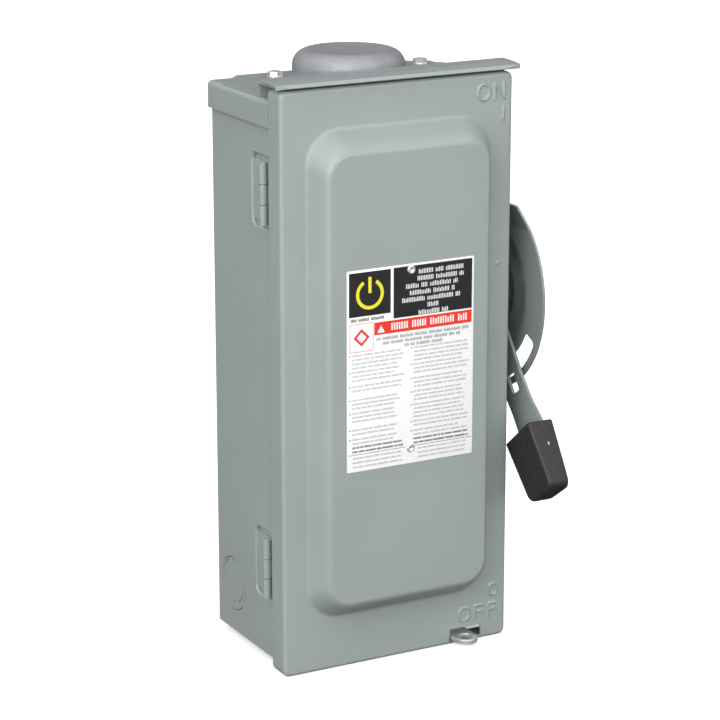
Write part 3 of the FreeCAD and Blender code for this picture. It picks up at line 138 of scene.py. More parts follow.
WALL_X = 78.2                        # outside of the enclosure's right wall


# ---------------------------------------------------------------- mesh helpers
def finish_mesh(obj, sharp_angle=32.0):
    """Bake the modifiers into the mesh, shade it smooth and keep its real edges sharp."""
    graph = bpy.context.evaluated_depsgraph_get()
    baked = bpy.data.meshes.new_from_object(obj.evaluated_get(graph))
    obj.modifiers.clear()
    obj.data = baked
    bm = bmesh.new()
    bm.from_mesh(baked)
    bmesh.ops.remove_doubles(bm, verts=bm.verts, dist=1e-6)
    for face in bm.faces:
        face.smooth = True
    for edge in bm.edges:
        edge.smooth = len(edge.link_faces) == 2 and edge.calc_face_angle(0) < math.radians(sharp_angle)
    bm.to_mesh(baked)
    bm.free()
    return obj


def new_object(name, points, faces):
    """Mesh object from points in millimetres."""
    mesh = bpy.data.meshes.new(name)
    mesh.from_pydata([tuple(c * MM for c in p) for p in points], [], faces)
    mesh.validate()
    obj = bpy.data.objects.new(name, mesh)
    bpy.context.scene.collection.objects.link(obj)
    return obj


def outward(obj):
    """Turn every face's normal to the outside of its closed shell."""
    bm = bmesh.new()
    bm.from_mesh(obj.data)
    bmesh.ops.recalc_face_normals(bm, faces=bm.faces)
    bm.to_mesh(obj.data)
    bm.free()
    return obj


def thicken(obj, thickness, offset=-1.0):
    """Give a sheet its thickness, on the back of its normals unless offset says otherwise."""
    solid = obj.modifiers.new("sheet", "SOLIDIFY")
    solid.thickness = thickness * MM
    solid.offset = offset
    solid.use_even_offset = True
    return obj


def bevel(obj, width, segments=2, angle=40.0):
    """Round the edges that are sharper than an angle."""
    rounding = obj.modifiers.new("rounding", "BEVEL")
    rounding.width = width * MM
    rounding.segments = segments
    rounding.limit_method = "ANGLE"
    rounding.angle_limit = math.radians(angle)
    return obj


def cut_away(obj, cutter):
    """Subtract a closed cutter from obj and delete the cutter."""
    boolean = obj.modifiers.new("cut", "BOOLEAN")
    boolean.operation = "DIFFERENCE"
    boolean.solver = "EXACT"
    boolean.object = cutter
    graph = bpy.context.evaluated_depsgraph_get()
    obj.data = bpy.data.meshes.new_from_object(obj.evaluated_get(graph))
    obj.modifiers.clear()
    bpy.data.objects.remove(cutter)
    return obj


def extruded(name, outline, push):
    """Closed prism from an outline of 3-D points, pushed along a vector."""
    count = len(outline)
    far = [tuple(a + b for a, b in zip(p, push)) for p in outline]
    faces = [tuple(range(count))[::-1], tuple(range(count, 2 * count))]
    faces += [(i, (i + 1) % count, (i + 1) % count + count, i + count) for i in range(count)]
    return outward(new_object(name, list(outline) + far, faces))


def spaced(*spans):
    """Grid lines through spans given as (start, end, largest step)."""
    lines = [spans[0][0]]
    for start, end, step in spans:
        count = max(1, math.ceil((end - start) / step - 1e-6))
        lines += [start + (end - start) * (k + 1) / count for k in range(count)]
    return np.array(lines)


def arc(centre, radius, first, last, steps):
    """2-D points on an arc, angles in degrees."""
    turns = [math.radians(first + (last - first) * k / steps) for k in range(steps + 1)]
    return [(centre[0] + radius * math.cos(t), centre[1] + radius * math.sin(t)) for t in turns]


def round_box(left, right, low, high, corner, steps):
    """Outline of a rectangle with round corners, from its upper right corner on."""
    outline = []
    for x, z, first in ((right - corner, high - corner, 0), (left + corner, high - corner, 90),
                        (left + corner, low + corner, 180), (right - corner, low + corner, 270)):
        outline += arc((x, z), corner, first, first + 90, steps)
    return outline


def strip_faces(previous, current):
    """Quads between two closed rings of point numbers."""
    count = len(current)
    return [(previous[k], previous[(k + 1) % count], current[(k + 1) % count], current[k])
            for k in range(count)]


def lathe(name, profile, centre, axis, steps):
    """Solid of revolution: profile of (radius, distance along axis) points round an axis through centre."""
    axis = Vector(axis)
    side = axis.orthogonal().normalized()
    other = axis.cross(side)
    points, faces = [], []
    for k in range(steps):
        t = 2 * math.pi * k / steps
        ray = side * math.cos(t) + other * math.sin(t)
        points += [tuple(Vector(centre) + ray * r + axis * d) for r, d in profile]
    count = len(profile)
    for k in range(steps):
        a, b = k * count, (k + 1) % steps * count
        faces += [(a + i, a + i + 1, b + i + 1, b + i) for i in range(count - 1)]
    obj = new_object(name, points, faces)
    bm = bmesh.new()
    bm.from_mesh(obj.data)
    bmesh.ops.remove_doubles(bm, verts=bm.verts, dist=1e-6)
    bm.to_mesh(obj.data)
    bm.free()
    return outward(obj)


def joined(name, objects):
    """One object from several, with their meshes side by side."""
    bm = bmesh.new()
    for obj in objects:
        bm.from_mesh(obj.data)
        bpy.data.objects.remove(obj)
    mesh = bpy.data.meshes.new(name)
    bm.to_mesh(mesh)
    bm.free()
    result = bpy.data.objects.new(name, mesh)
    bpy.context.scene.collection.objects.link(result)
    return result


def place(obj, body, slot, *replaced, finish=None):
    """Ride on a body, take the slot's finish or a given one, and stand for the CAD nodes replaced."""
    obj.data.materials.clear()
    obj.data.materials.append(finish or FINISHES[slot])
    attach(obj, body)
    if replaced:
        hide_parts(*replaced)
    return obj


# ---------------------------------------------------------------- materials
class Finish:
    """A material's node tree, grown from its Principled shader."""

    def __init__(self, name):
        self.material = bpy.data.materials.new(name)
        self.material.use_nodes = True
        self.nodes = self.material.node_tree.nodes
        self.links = self.material.node_tree.links
        self.shader = self.nodes["Principled BSDF"]
        self.place = self.add("ShaderNodeTexCoord").outputs["Object"]

    def add(self, kind, **settings):
        """New node; a setting is one of its attributes or, failing that, one of its inputs."""
        node = self.nodes.new(kind)
        for key, value in settings.items():
            if hasattr(node, key):
                setattr(node, key, value)
            else:
                node.inputs[key.replace("_", " ")].default_value = value
        return node

    def link(self, source, target):
        self.links.new(source, target)

    def set(self, **values):
        """Set inputs of the Principled shader."""
        for key, value in values.items():
            self.shader.inputs[key.replace("_", " ")].default_value = value

    def noise(self, scale, detail=3.0, roughness=0.5, stretch=None):
        """Noise at features per metre, stretched along the axes if asked."""
        texture = self.add("ShaderNodeTexNoise", Scale=scale, Detail=detail, Roughness=roughness)
        source = self.place
        if stretch:
            mapping = self.add("ShaderNodeMapping")
            mapping.inputs["Scale"].default_value = stretch
            self.link(source, mapping.inputs["Vector"])
            source = mapping.outputs["Vector"]
        self.link(source, texture.inputs["Vector"])
        return texture.outputs["Fac"]

    def spread(self, source, low, high, start=0.3, end=0.7):
        """Map a factor onto a range of values."""
        ramp = self.add("ShaderNodeMapRange")
        for key, value in (("From Min", start), ("From Max", end), ("To Min", low), ("To Max", high)):
            ramp.inputs[key].default_value = value
        self.link(source, ramp.inputs["Value"])
        return ramp.outputs["Result"]

    def blend(self, factor, first, second):
        """Mix two colours, each an RGB triple or a socket."""
        mix = self.add("ShaderNodeMix", data_type="RGBA")
        self.link(factor, mix.inputs[0])
        for socket, colour in ((mix.inputs[6], first), (mix.inputs[7], second)):
            if isinstance(colour, tuple):
                socket.default_value = (*colour, 1.0)
            else:
                self.link(colour, socket)
        return mix.outputs[2]

    def edges(self, radius):
        """Rounded normal, and a mask that is 1 along sharp edges."""
        soft = self.add("ShaderNodeBevel", samples=4)
        soft.inputs["Radius"].default_value = radius * MM
        flat = self.add("ShaderNodeNewGeometry")
        dot = self.add("ShaderNodeVectorMath", operation="DOT_PRODUCT")
        self.link(soft.outputs["Normal"], dot.inputs[0])
        self.link(flat.outputs["Normal"], dot.inputs[1])
        return soft.outputs["Normal"], self.spread(dot.outputs["Value"], 1.0, 0.0, 0.80, 0.99)

    def bump(self, height, distance, normal=None):
        """Bump the shader's normal by a height field whose full depth is distance, in millimetres."""
        bump = self.add("ShaderNodeBump", Strength=1.0, Distance=distance * MM)
        self.link(height, bump.inputs["Height"])
        if normal is not None:
            self.link(normal, bump.inputs["Normal"])
        self.link(bump.outputs["Normal"], self.shader.inputs["Normal"])


def shade(colour, factor):
    """A colour made lighter or darker."""
    return tuple(min(1.0, c * factor) for c in colour)


def enamel(name, colour):
    """Baked enamel on sheet steel: orange peel, slow tone drift, lighter edges (painted highlight and thin film),
    fine dust.
    """
    f = Finish(name)
    rounded, edge = f.edges(0.45)
    drift = f.noise(14.0, 2.0)
    base = f.blend(f.spread(drift, 0.0, 1.0), shade(colour, 0.965), shade(colour, 1.03))
    speck = f.spread(f.noise(2600.0, 2.0), 0.0, 1.0, 0.66, 0.74)
    base = f.blend(speck, base, shade(colour, 1.16))
    # painted highlight: the colour is lighter along sharp edges, partly standing for the thin film there
    base = f.blend(f.spread(edge, 0.0, 0.35, 0.0, 1.0), base, shade(colour, 1.22))
    f.link(base, f.shader.inputs["Base Color"])
    f.link(f.spread(f.noise(60.0, 4.0), 0.36, 0.47), f.shader.inputs["Roughness"])
    f.set(Specular_IOR_Level=0.5, Coat_Weight=0.30, Coat_Roughness=0.16)
    peel = f.noise(520.0, 2.0, 0.4)
    f.bump(peel, 0.028, rounded)
    return f.material


def plated(name, colour, rough=(0.18, 0.34), grain=900.0, depth=0.02, metallic=1.0, stretch=None):
    """Bare or plated metal: uneven gloss, fine grain, faint tarnish clouds and bright worn edges."""
    f = Finish(name)
    rounded, edge = f.edges(0.3)
    cloud = f.noise(85.0, 4.0, 0.6)
    base = f.blend(f.spread(cloud, 0.0, 1.0), shade(colour, 0.84), colour)
    base = f.blend(edge, base, shade(colour, 1.15))
    f.link(base, f.shader.inputs["Base Color"])
    f.link(f.spread(f.noise(240.0, 3.0, 0.5, stretch), *rough), f.shader.inputs["Roughness"])
    f.set(Metallic=metallic)
    f.bump(f.noise(grain, 3.0, 0.5, stretch), depth, rounded)
    return f.material


def moulded(name, colour, rough=(0.42, 0.58), grain=1400.0, depth=0.03, wear=1.25):
    """Moulded thermoset, nylon or fibre: matt grain, flow marks and slightly lighter edges."""
    f = Finish(name)
    rounded, edge = f.edges(0.35)
    flow = f.noise(30.0, 5.0, 0.6, (1.0, 1.0, 0.25))
    base = f.blend(f.spread(flow, 0.0, 1.0), shade(colour, 0.88), shade(colour, 1.08))
    base = f.blend(edge, base, shade(colour, wear))
    f.link(base, f.shader.inputs["Base Color"])
    f.link(f.spread(f.noise(170.0, 3.0), *rough), f.shader.inputs["Roughness"])
    f.bump(f.noise(grain, 3.0), depth, rounded)
    return f.material


def vinyl(name, colour):
    """Moulded vinyl sleeve: fine lengthways drag marks over a soft pebble, with greyed scuffs."""
    f = Finish(name)
    rounded, edge = f.edges(0.6)
    scuff = f.spread(f.noise(420.0, 5.0, 0.65, (1.0, 0.5, 0.18)), 0.0, 1.0, 0.45, 0.75)
    base = f.blend(scuff, colour, shade(colour, 2.1))
    base = f.blend(f.spread(edge, 0.0, 0.6, 0.0, 1.0), base, shade(colour, 2.6))
    f.link(base, f.shader.inputs["Base Color"])
    f.link(f.spread(f.noise(90.0, 4.0), 0.40, 0.56), f.shader.inputs["Roughness"])
    f.bump(f.noise(700.0, 4.0, 0.6, (1.0, 0.7, 0.35)), 0.10, rounded)
    return f.material


def printed(name, colour, gloss=(0.28, 0.40)):
    """Ink or film of the label: faint mottle in the colour and a satin film over it."""
    f = Finish(name)
    mottle = f.noise(700.0, 3.0)
    base = f.blend(f.spread(mottle, 0.0, 1.0), shade(colour, 0.94), shade(colour, 1.04))
    f.link(base, f.shader.inputs["Base Color"])
    f.link(f.spread(f.noise(60.0, 3.0), *gloss), f.shader.inputs["Roughness"])
    f.bump(f.noise(1500.0, 2.0), 0.006)
    return f.material


PAINT = (0.300, 0.340, 0.336)
FINISHES = {
    "grey_paint": enamel("grey_paint", PAINT),
    "zinc": plated("zinc", (0.84, 0.87, 0.89), (0.26, 0.42), metallic=0.75),
    "hub_metal": plated("hub_metal", (0.36, 0.37, 0.385), (0.50, 0.60), 1500.0, 0.03, metallic=0.5),
    "steel": plated("steel", (0.46, 0.46, 0.45), (0.28, 0.42)),
    "copper": plated("copper", (0.80, 0.43, 0.27), (0.22, 0.38)),
    "tin_plate": plated("tin_plate", (0.70, 0.69, 0.66), (0.28, 0.42)),
    "aluminium": plated("aluminium", (0.72, 0.73, 0.74), (0.30, 0.42), 600.0, 0.03,
                        stretch=(1.0, 1.0, 0.05)),
    "black_vinyl": vinyl("black_vinyl", (0.016, 0.0155, 0.0145)),
    "black_moulding": moulded("black_moulding", (0.022, 0.022, 0.024)),
    "white_moulding": moulded("white_moulding", (0.70, 0.69, 0.64), (0.35, 0.5), wear=1.1),
    "fibre": moulded("fibre", (0.30, 0.115, 0.05), (0.5, 0.65), 900.0, 0.05),
    "clear_grey": moulded("clear_grey", (0.10, 0.105, 0.11), (0.12, 0.25), 300.0, 0.01),
    "label": printed("label", (0.90, 0.90, 0.895)),
    "gasket_rubber": moulded("gasket_rubber", (0.03, 0.03, 0.03), (0.7, 0.85), 1800.0, 0.06),
    "green_zinc": plated("green_zinc", (0.05, 0.30, 0.12), (0.25, 0.4)),
}
INKS = {
    "black": printed("ink_black", (0.012, 0.012, 0.013)),
    "white": printed("ink_white", (0.84, 0.84, 0.83)),
    "red": printed("ink_red", (0.80, 0.035, 0.02)),
    "gold": printed("ink_gold", (0.80, 0.72, 0.03)),
    "grey": printed("ink_grey", (0.10, 0.10, 0.11)),
    "pale": printed("ink_pale", (0.30, 0.30, 0.31)),
}
SHADED_GREY_PAINT = enamel("grey_paint_shaded", shade(PAINT, 0.74))    # painted shade: the same grey enamel darkened for the arm and its guard, which lie in shade beside the box


def dress_cad_nodes():
    """Give every CAD node the finish that the record names for it."""
    slots = {part["node"]: part["material_slot"] for part in frame["record"]["subparts"]}
    for name, obj in frame["nodes"].items():
        obj.data.materials.clear()
        obj.data.materials.append(FINISHES[slots[name]])


# ---------------------------------------------------------------- door
def box_distance(x, z, half_w, heights, corner):
    """Signed distance from (x, height) to a rectangle with round corners, negative inside."""
    mid, half_h = sum(heights) / 2, (heights[1] - heights[0]) / 2
    qx = np.abs(x) - half_w + corner
    qz = np.abs(z - mid) - half_h + corner
    outside = np.hypot(np.maximum(qx, 0), np.maximum(qz, 0))
    return outside + np.minimum(np.maximum(qx, qz), 0) - corner


def panel_height(x, z):
    """Height of the pressed-out panel: flat face, rolled shoulder, sloped wall, hollow foot."""
    face = box_distance(x, z, FACE_HALF_W, FACE_H, FACE_CORNER)
    foot = box_distance(x, z, FOOT_HALF_W, FOOT_H, FOOT_CORNER)
    t = face / (face - foot)
    wall = 1.0 - t
    wall = np.where(t < SHOULDER, 1.0 - (t + SHOULDER) ** 2 / (4 * SHOULDER), wall)
    wall = np.where(t < -SHOULDER, 1.0, wall)
    wall = np.where(t > 1 - HOLLOW, (1 + HOLLOW - t) ** 2 / (4 * HOLLOW), wall)
    return PANEL_RISE * np.where(t > 1 + HOLLOW, 0.0, wall)


def stroke_distance(x, z, a, b):
    """Distance to a straight stroke from a to b."""
    along = np.array(b) - np.array(a)
    t = ((x - a[0]) * along[0] + (z - a[1]) * along[1]) / (along @ along)
    t = np.clip(t, 0.0, 1.0)
    return np.hypot(x - a[0] - t * along[0], z - a[1] - t * along[1])


def ring_distance(x, z, centre, half_w, half_h):
    """Distance to the centre line of an oval stroke."""
    radius = min(half_w, half_h)
    stretch_x, stretch_z = half_w - radius, half_h - radius
    qx = np.maximum(np.abs(x - centre[0]) - stretch_x, 0)
    qz = np.maximum(np.abs(z - centre[1]) - stretch_z, 0)
    return np.abs(np.hypot(qx, qz) - radius)


def marks_height(x, z):
    """Raised ON, I, O and OFF in the door's right margin, and the small pip beside the panel."""
    half = STROKE / 2
    on_low, on_high = ON_H[0] + half, ON_H[1] - half
    off_low, off_high = OFF_H[0] + half, OFF_H[1] - half
    n_left, n_right = 67.4, 74.2
    strokes = [((n_left, on_low), (n_left, on_high)), ((n_right, on_low), (n_right, on_high)),
               ((n_left, on_high), (n_right, on_low)), ((73.7, 340.4), (73.7, 347.4))]
    for left in (57.3, 67.6):
        middle = (off_low + off_high) / 2 + 0.4
        strokes += [((left, off_low), (left, off_high)), ((left, off_high), (left + 5.4, off_high)),
                    ((left, middle), (left + 4.4, middle))]
    distance = ring_distance(x, z, (59.6, (on_low + on_high) / 2), 3.9, (on_high - on_low) / 2)
    for centre, half_w, half_h in (((49.4, (off_low + off_high) / 2), 3.7, (off_high - off_low) / 2),
                                   ((70.8, 32.8), 2.6, 3.9)):
        distance = np.minimum(distance, ring_distance(x, z, centre, half_w, half_h))
    for a, b in strokes:
        distance = np.minimum(distance, stroke_distance(x, z, a, b))
    rise = np.clip((half + 0.5 - distance) / STROKE_SOFT, 0.0, 1.0)
    pip = np.clip((1.9 - np.hypot(x - PIP_X, z - PIP_H)) / 1.4, 0.0, 1.0)
    return EMBOSS * (rise * rise * (3 - 2 * rise)) + PIP_RISE * pip * pip * (3 - 2 * pip)


def door_grid():
    """Grid lines of the door's face, close together where it is shaped."""
    half_w = DOOR_HIGH.x - BEND
    low, high = BEND, DOOR_HIGH.z - FLOOR_H - BEND
    xs = spaced((-half_w, -half_w + CORNER, 0.4), (-half_w + CORNER, -67.0, 3.0), (-67.0, -39.0, 0.75),
                (-39.0, SLOT_X[0], 6.0), (SLOT_X[0], 43.0, 1.0), (43.0, SLOT_X[1], 0.45),
                (SLOT_X[1], half_w, 0.45))
    zs = spaced((low, SLOT_H[0], 0.4), (SLOT_H[0], SLOT_H[0] + CORNER, 0.5),
                (SLOT_H[0] + CORNER, SLOT_H[1], 1.0), (SLOT_H[1], 13.0, 1.0), (13.0, 40.0, 0.45),
                (40.0, 69.0, 0.75), (69.0, 246.0, 7.0), (246.0, 253.0, 0.5), (253.0, 299.0, 7.0),
                (299.0, 345.0, 0.75), (345.0, high, 0.45))
    return xs, zs


def round_corners(x, z, half_w, low, high, radius):
    """Pull the points of the four corner squares onto round corners."""
    mid, half_h = (low + high) / 2, (high - low) / 2
    u = np.clip((np.abs(x) - half_w + radius) / radius, 0, 1)
    v = np.clip((np.abs(z - mid) - half_h + radius) / radius, 0, 1)
    both = (u > 0) & (v > 0)
    new_x = np.sign(x) * (half_w - radius + radius * u * np.sqrt(1 - v * v / 2))
    new_z = mid + np.sign(z - mid) * (half_h - radius + radius * v * np.sqrt(1 - u * u / 2))
    return np.where(both, new_x, x), np.where(both, new_z, z)


def door_skin():
    """The whole door as one pressed sheet: shaped face, rounded bends, side flanges and the hasp slot."""
    xs, zs = door_grid()
    columns, rows = len(xs), len(zs)
    grid_x, grid_z = np.meshgrid(xs, zs)
    height = panel_height(grid_x, grid_z) + marks_height(grid_x, grid_z)
    half_w = DOOR_HIGH.x - BEND
    px, pz = round_corners(grid_x, grid_z, half_w, zs[0], zs[-1], CORNER)
    points = [(x, FRONT_Y - h, z + FLOOR_H) for x, z, h in zip(px.ravel(), pz.ravel(), height.ravel())]
    faces = []
    for j in range(rows - 1):
        for i in range(columns - 1):
            mid_x, mid_z = (xs[i] + xs[i + 1]) / 2, (zs[j] + zs[j + 1]) / 2
            if SLOT_X[0] < mid_x < SLOT_X[1] and SLOT_H[0] < mid_z < SLOT_H[1]:
                continue
            a = j * columns + i
            faces.append((a, a + 1, a + 1 + columns, a + columns))
    rim = list(range(columns)) + [j * columns + columns - 1 for j in range(1, rows)]
    rim += [(rows - 1) * columns + i for i in range(columns - 2, -1, -1)]
    rim += [j * columns for j in range(rows - 2, 0, -1)]
    previous = rim
    for ring in door_rings([points[i] for i in rim], half_w, zs[0], zs[-1]):
        start = len(points)
        points += ring
        current = list(range(start, start + len(ring)))
        faces += strip_faces(current, previous)
        previous = current
    door = new_object("door_skin", points, faces)
    thicken(door, SHEET)
    finish_mesh(door)
    return place(door, "door", "grey_paint", "door_panel")


def door_rings(rim, half_w, low, high):
    """Rings of points that carry the face's rim round the bend and back along the flanges."""
    mid, half_h = (low + high) / 2, (high - low) / 2
    normals = []
    for x, _, z in rim:
        qx = max(abs(x) - half_w + CORNER, 0) * math.copysign(1, x)
        qz = max(abs(z - FLOOR_H - mid) - half_h + CORNER, 0) * math.copysign(1, z - FLOOR_H - mid)
        if abs(abs(x) - half_w) < 1e-6 and abs(qz) < 1e-6:
            qx = math.copysign(1, x)
        length = math.hypot(qx, qz)
        on_side = abs(abs(x) - half_w) < 1e-6 and abs(abs(z - FLOOR_H - mid) - half_h) > CORNER
        on_end = abs(abs(z - FLOOR_H - mid) - half_h) < 1e-6 and abs(x) < half_w - CORNER
        if on_side:
            normals.append((math.copysign(1, x), 0.0))
        elif on_end:
            normals.append((0.0, math.copysign(1, z - FLOOR_H - mid)))
        else:
            normals.append((qx / length, qz / length))
    bend_steps, flange_rows = 5, 12
    for k in range(1, bend_steps + 1):
        t = math.pi / 2 * k / bend_steps
        yield [(x + nx * BEND * math.sin(t), FRONT_Y + BEND * (1 - math.cos(t)), z + nz * BEND * math.sin(t))
               for (x, _, z), (nx, nz) in zip(rim, normals)]
    for k in range(1, flange_rows + 1):
        ring = []
        for (x, _, z), (nx, nz) in zip(rim, normals):
            out_x, out_z = x + nx * BEND, z + nz * BEND
            start = FRONT_Y + BEND
            y = start + (flange_end(out_x, out_z - FLOOR_H) - start) * k / flange_rows
            ring.append((out_x + weld_dimple(out_x, y, out_z - FLOOR_H), y, out_z))
        yield ring


def flange_end(x, height):
    """Rear edge of the flange, nicked round the two lower corners."""
    from_corner = max(height, DOOR_HIGH.x - abs(x))
    reach = max(FLANGE_NOTCH - from_corner, 0.0)
    return DOOR_HIGH.y - (FLANGE_NOTCH - math.sqrt(FLANGE_NOTCH ** 2 - reach ** 2))


def weld_dimple(x, y, height):
    """Shallow dent that a spot weld leaves in the left flange beside each hinge."""
    if x > 0:
        return 0.0
    near = min(math.hypot(y - (DOOR_HIGH.y - WELD_INSET), height - h + 1.0) for h in HINGE_HEIGHTS)
    return WELD_DEPTH * math.exp(-(near / WELD_R) ** 2)


# ---------------------------------------------------------------- label
LABEL_LOW, LABEL_HIGH = node_box("door_label")
LABEL_W, LABEL_H = LABEL_HIGH.x - LABEL_LOW.x, LABEL_HIGH.z - LABEL_LOW.z
LABEL_CORNER = 1.0
INK_T = 0.03
PITCH, GAP = 0.4, 0.5        # of the bars and of the spaces between words, over the line's height
# the print's layout, as shares of the label's width and height
TITLE_LINES = ((0.56, 0.92), (0.55, 0.93), (0.46, 0.88), (0.49, 0.85), (0.43, 0.90), (0.63, 0.73),
               (0.56, 0.81))
TITLE_TOP, TITLE_ROW = 0.031, 0.0338
LEAD_LINES = ((0.23, 0.97), (0.28, 0.91), (0.45, 0.76))
LEAD_TOP, LEAD_ROW = 0.343, 0.0235
PARAGRAPH_TOPS = (0.413, 0.496, 0.567, 0.634, 0.700, 0.784, 0.831)
HEAVY_TOPS = (0.873, 0.894)
PRINT_ROW, FOOT_ROW = 0.0205, 0.022
PRINT_H = 1.2                # height of the small print, in millimetres


class Print:
    """Flat printed blocks of one colour, gathered into one mesh."""

    def __init__(self):
        self.points = []
        self.faces = []

    def shape(self, outline, lift=0):
        """A closed sliver from (across, down) points, in millimetres from the label's top left."""
        count, first = len(outline), len(self.points)
        back = LABEL_LOW.y + 0.01
        front = LABEL_LOW.y - INK_T * (1 + lift)
        for y in (back, front):
            self.points += [(LABEL_LOW.x + across, y, LABEL_HIGH.z - down) for across, down in outline]
        self.faces.append(tuple(range(first, first + count))[::-1])
        self.faces.append(tuple(range(first + count, first + 2 * count)))
        self.faces += strip_faces(range(first, first + count), range(first + count, first + 2 * count))

    def block(self, left, right, top, bottom, lift=0):
        """Rectangle given as shares of the label's width and height."""
        a, b, c, d = left * LABEL_W, right * LABEL_W, top * LABEL_H, bottom * LABEL_H
        self.shape([(a, c), (b, c), (b, d), (a, d)], lift)

    def words(self, draw, left, right, top, height, lift=0, weight=0.5):
        """A line of short upright bars in word-like groups; it stands for text and spells nothing."""
        pitch, line_top = PITCH * height, top * LABEL_H
        at, end = left * LABEL_W, right * LABEL_W
        while at + pitch < end:
            for _ in range(draw.randint(4, 16)):
                if at + pitch > end:
                    return
                head = line_top + height * draw.choice((0.0, 0.0, 0.0, 0.2))
                foot, bar_end = line_top + height, at + pitch * weight
                self.shape([(at, head), (bar_end, head), (bar_end, foot), (at, foot)], lift)
                at += pitch
            at += height * GAP

    def make(self, colour):
        """Turn the gathered blocks into one object in that ink."""
        obj = outward(new_object("label_print_" + colour, self.points, self.faces))
        obj.data.materials.append(INKS[colour])
        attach(obj, "door")


def label_stock():
    """The white film itself, with small round corners."""
    outline = round_box(LABEL_LOW.x, LABEL_HIGH.x, LABEL_LOW.z, LABEL_HIGH.z, LABEL_CORNER, 5)
    stock = extruded("label_stock", [(x, LABEL_LOW.y, z) for x, z in outline],
                     (0, LABEL_HIGH.y - LABEL_LOW.y, 0))
    bevel(stock, 0.08, 2)
    finish_mesh(stock)
    return place(stock, "door", "label", "door_label")


def label_print():
    """Generic print: coloured fields, plain symbols and word-like blocks where the text would be."""
    draw = random.Random(7)
    sheets = {colour: Print() for colour in INKS}
    black, white, red, gold, grey, pale = (sheets[name] for name in INKS)
    black.block(0.016, 0.340, 0.012, 0.228)
    black.block(0.362, 0.985, 0.010, 0.259)
    red.block(0.212, 0.985, 0.267, 0.330)
    power_symbol(gold)
    for row, (left, right) in enumerate(TITLE_LINES):
        white.words(draw, left, right, TITLE_TOP + TITLE_ROW * row, 2.9, 1, 0.55)
    white.words(draw, 0.345, 0.955, 0.280, 4.4, 1, 0.6)
    alert_triangle(white)
    grey.words(draw, 0.03, 0.31, 0.236, 2.1, 0, 0.7)
    picture_box(red)
    for row, (left, right) in enumerate(LEAD_LINES):
        grey.words(draw, left, right, LEAD_TOP + LEAD_ROW * row, 2.0)
    small_print(grey, pale, draw, 0.040, 0.455, (4, 3, 2, 3, 3, 2, 2))
    small_print(grey, pale, draw, 0.525, 0.970, (4, 3, 3, 3, 4, 2, 2))
    grey.block(0.01, 0.99, 0.9125, 0.9150)
    for row in range(3):
        pale.words(draw, 0.045, 0.44, 0.927 + FOOT_ROW * row, PRINT_H)
        pale.words(draw, 0.56, 0.95, 0.925 + FOOT_ROW * row, PRINT_H)
    for colour, sheet in sheets.items():
        sheet.make(colour)


def alert_triangle(sheet):
    """Plain filled triangle at the left of the red band, in millimetres."""
    middle, half_w, top, foot = 0.265 * LABEL_W, 2.6, 36.0, 40.6
    sheet.shape([(middle - half_w, foot), (middle + half_w, foot), (middle, top)], 1)


def power_symbol(sheet):
    """Plain ring with a gap at the top and an upright bar in it."""
    x, z, outer, inner, steps = 0.178 * LABEL_W, 0.122 * LABEL_H, 9.6, 7.4, 40
    outside, inside = arc((x, z), outer, -60, 240, steps), arc((x, z), inner, -60, 240, steps)
    for k in range(steps):
        sheet.shape([outside[k], outside[k + 1], inside[k + 1], inside[k]], 1)
    half_w, top, foot = 1.1, z - 10.6, z - 0.6
    sheet.shape([(x - half_w, top), (x + half_w, top), (x + half_w, foot), (x - half_w, foot)], 1)


def picture_box(sheet):
    """Thin frame round a plain diamond."""
    left, right, top, bottom, line = 0.022, 0.205, 0.262, 0.402, 0.35
    line_x, line_z = line / LABEL_W, line / LABEL_H
    sheet.block(left, right, top, top + line_z)
    sheet.block(left, right, bottom - line_z, bottom)
    sheet.block(left, left + line_x, top + line_z, bottom - line_z)
    sheet.block(right - line_x, right, top + line_z, bottom - line_z)
    x, z = (left + right) / 2 * LABEL_W, (top + bottom) / 2 * LABEL_H
    outer, inner = 5.6, 3.4
    corners = [(0, -1), (1, 0), (0, 1), (-1, 0)]
    for (ax, az), (bx, bz) in zip(corners, corners[1:] + corners[:1]):
        sheet.shape([(x + ax * outer, z + az * outer), (x + bx * outer, z + bz * outer),
                     (x + bx * inner, z + bz * inner), (x + ax * inner, z + az * inner)])


def small_print(heavy, light, draw, left, right, paragraphs):
    """Column of bulleted paragraphs, each of so many light lines, and two heavy lines at its foot."""
    for top, lines in zip(PARAGRAPH_TOPS, paragraphs):
        centre = ((left - 0.018) * LABEL_W, top * LABEL_H + 0.7)
        heavy.shape(arc(centre, 0.5, 0, 315, 7))
        for row in range(lines):
            light.words(draw, left, right - draw.uniform(0.0, 0.09), top + PRINT_ROW * row, PRINT_H)
    for top in HEAVY_TOPS:
        heavy.words(draw, left, right - draw.uniform(0.0, 0.03), top, PRINT_H, 0, 0.8)


def label_rivets():
    """Two tubular rivets with rolled, dished heads."""
    low, high = node_box("label_rivets")
    face, radius = LABEL_LOW.y, 2.8
    reach = high.y - face
    profile = [(0.0, 0.25), (0.9, 0.25), (1.25, 0.45), (1.5, 0.85), (1.9, 1.0), (2.35, 0.85), (2.68, 0.5),
               (radius, 0.12), (radius, 0.0), (1.6, 0.0), (1.6, -reach + 1.0), (2.6, -reach + 0.8),
               (2.5, -reach), (0.0, -reach)]
    heads = []
    for height in (high.z - 2.7, low.z + 2.7):
        heads.append(lathe("label_rivet", profile, (0, face, height), (0, -1, 0), 40))
    rivets = joined("label_rivet_heads", heads)
    bevel(rivets, 0.08, 2, 50)
    finish_mesh(rivets)
    return place(rivets, "door", "zinc", "label_rivets")


# ---------------------------------------------------------------- handle
def arm_point(x, u, v):
    """Point of the handle at rest, u along the arm from the pivot and v across it, to the front."""
    forward = (-math.cos(OFF_ANGLE), math.sin(OFF_ANGLE))
    side = (math.sin(OFF_ANGLE), math.cos(OFF_ANGLE))
    return (x, PIVOT.y + u * forward[0] + v * side[0], PIVOT.z + u * forward[1] + v * side[1])


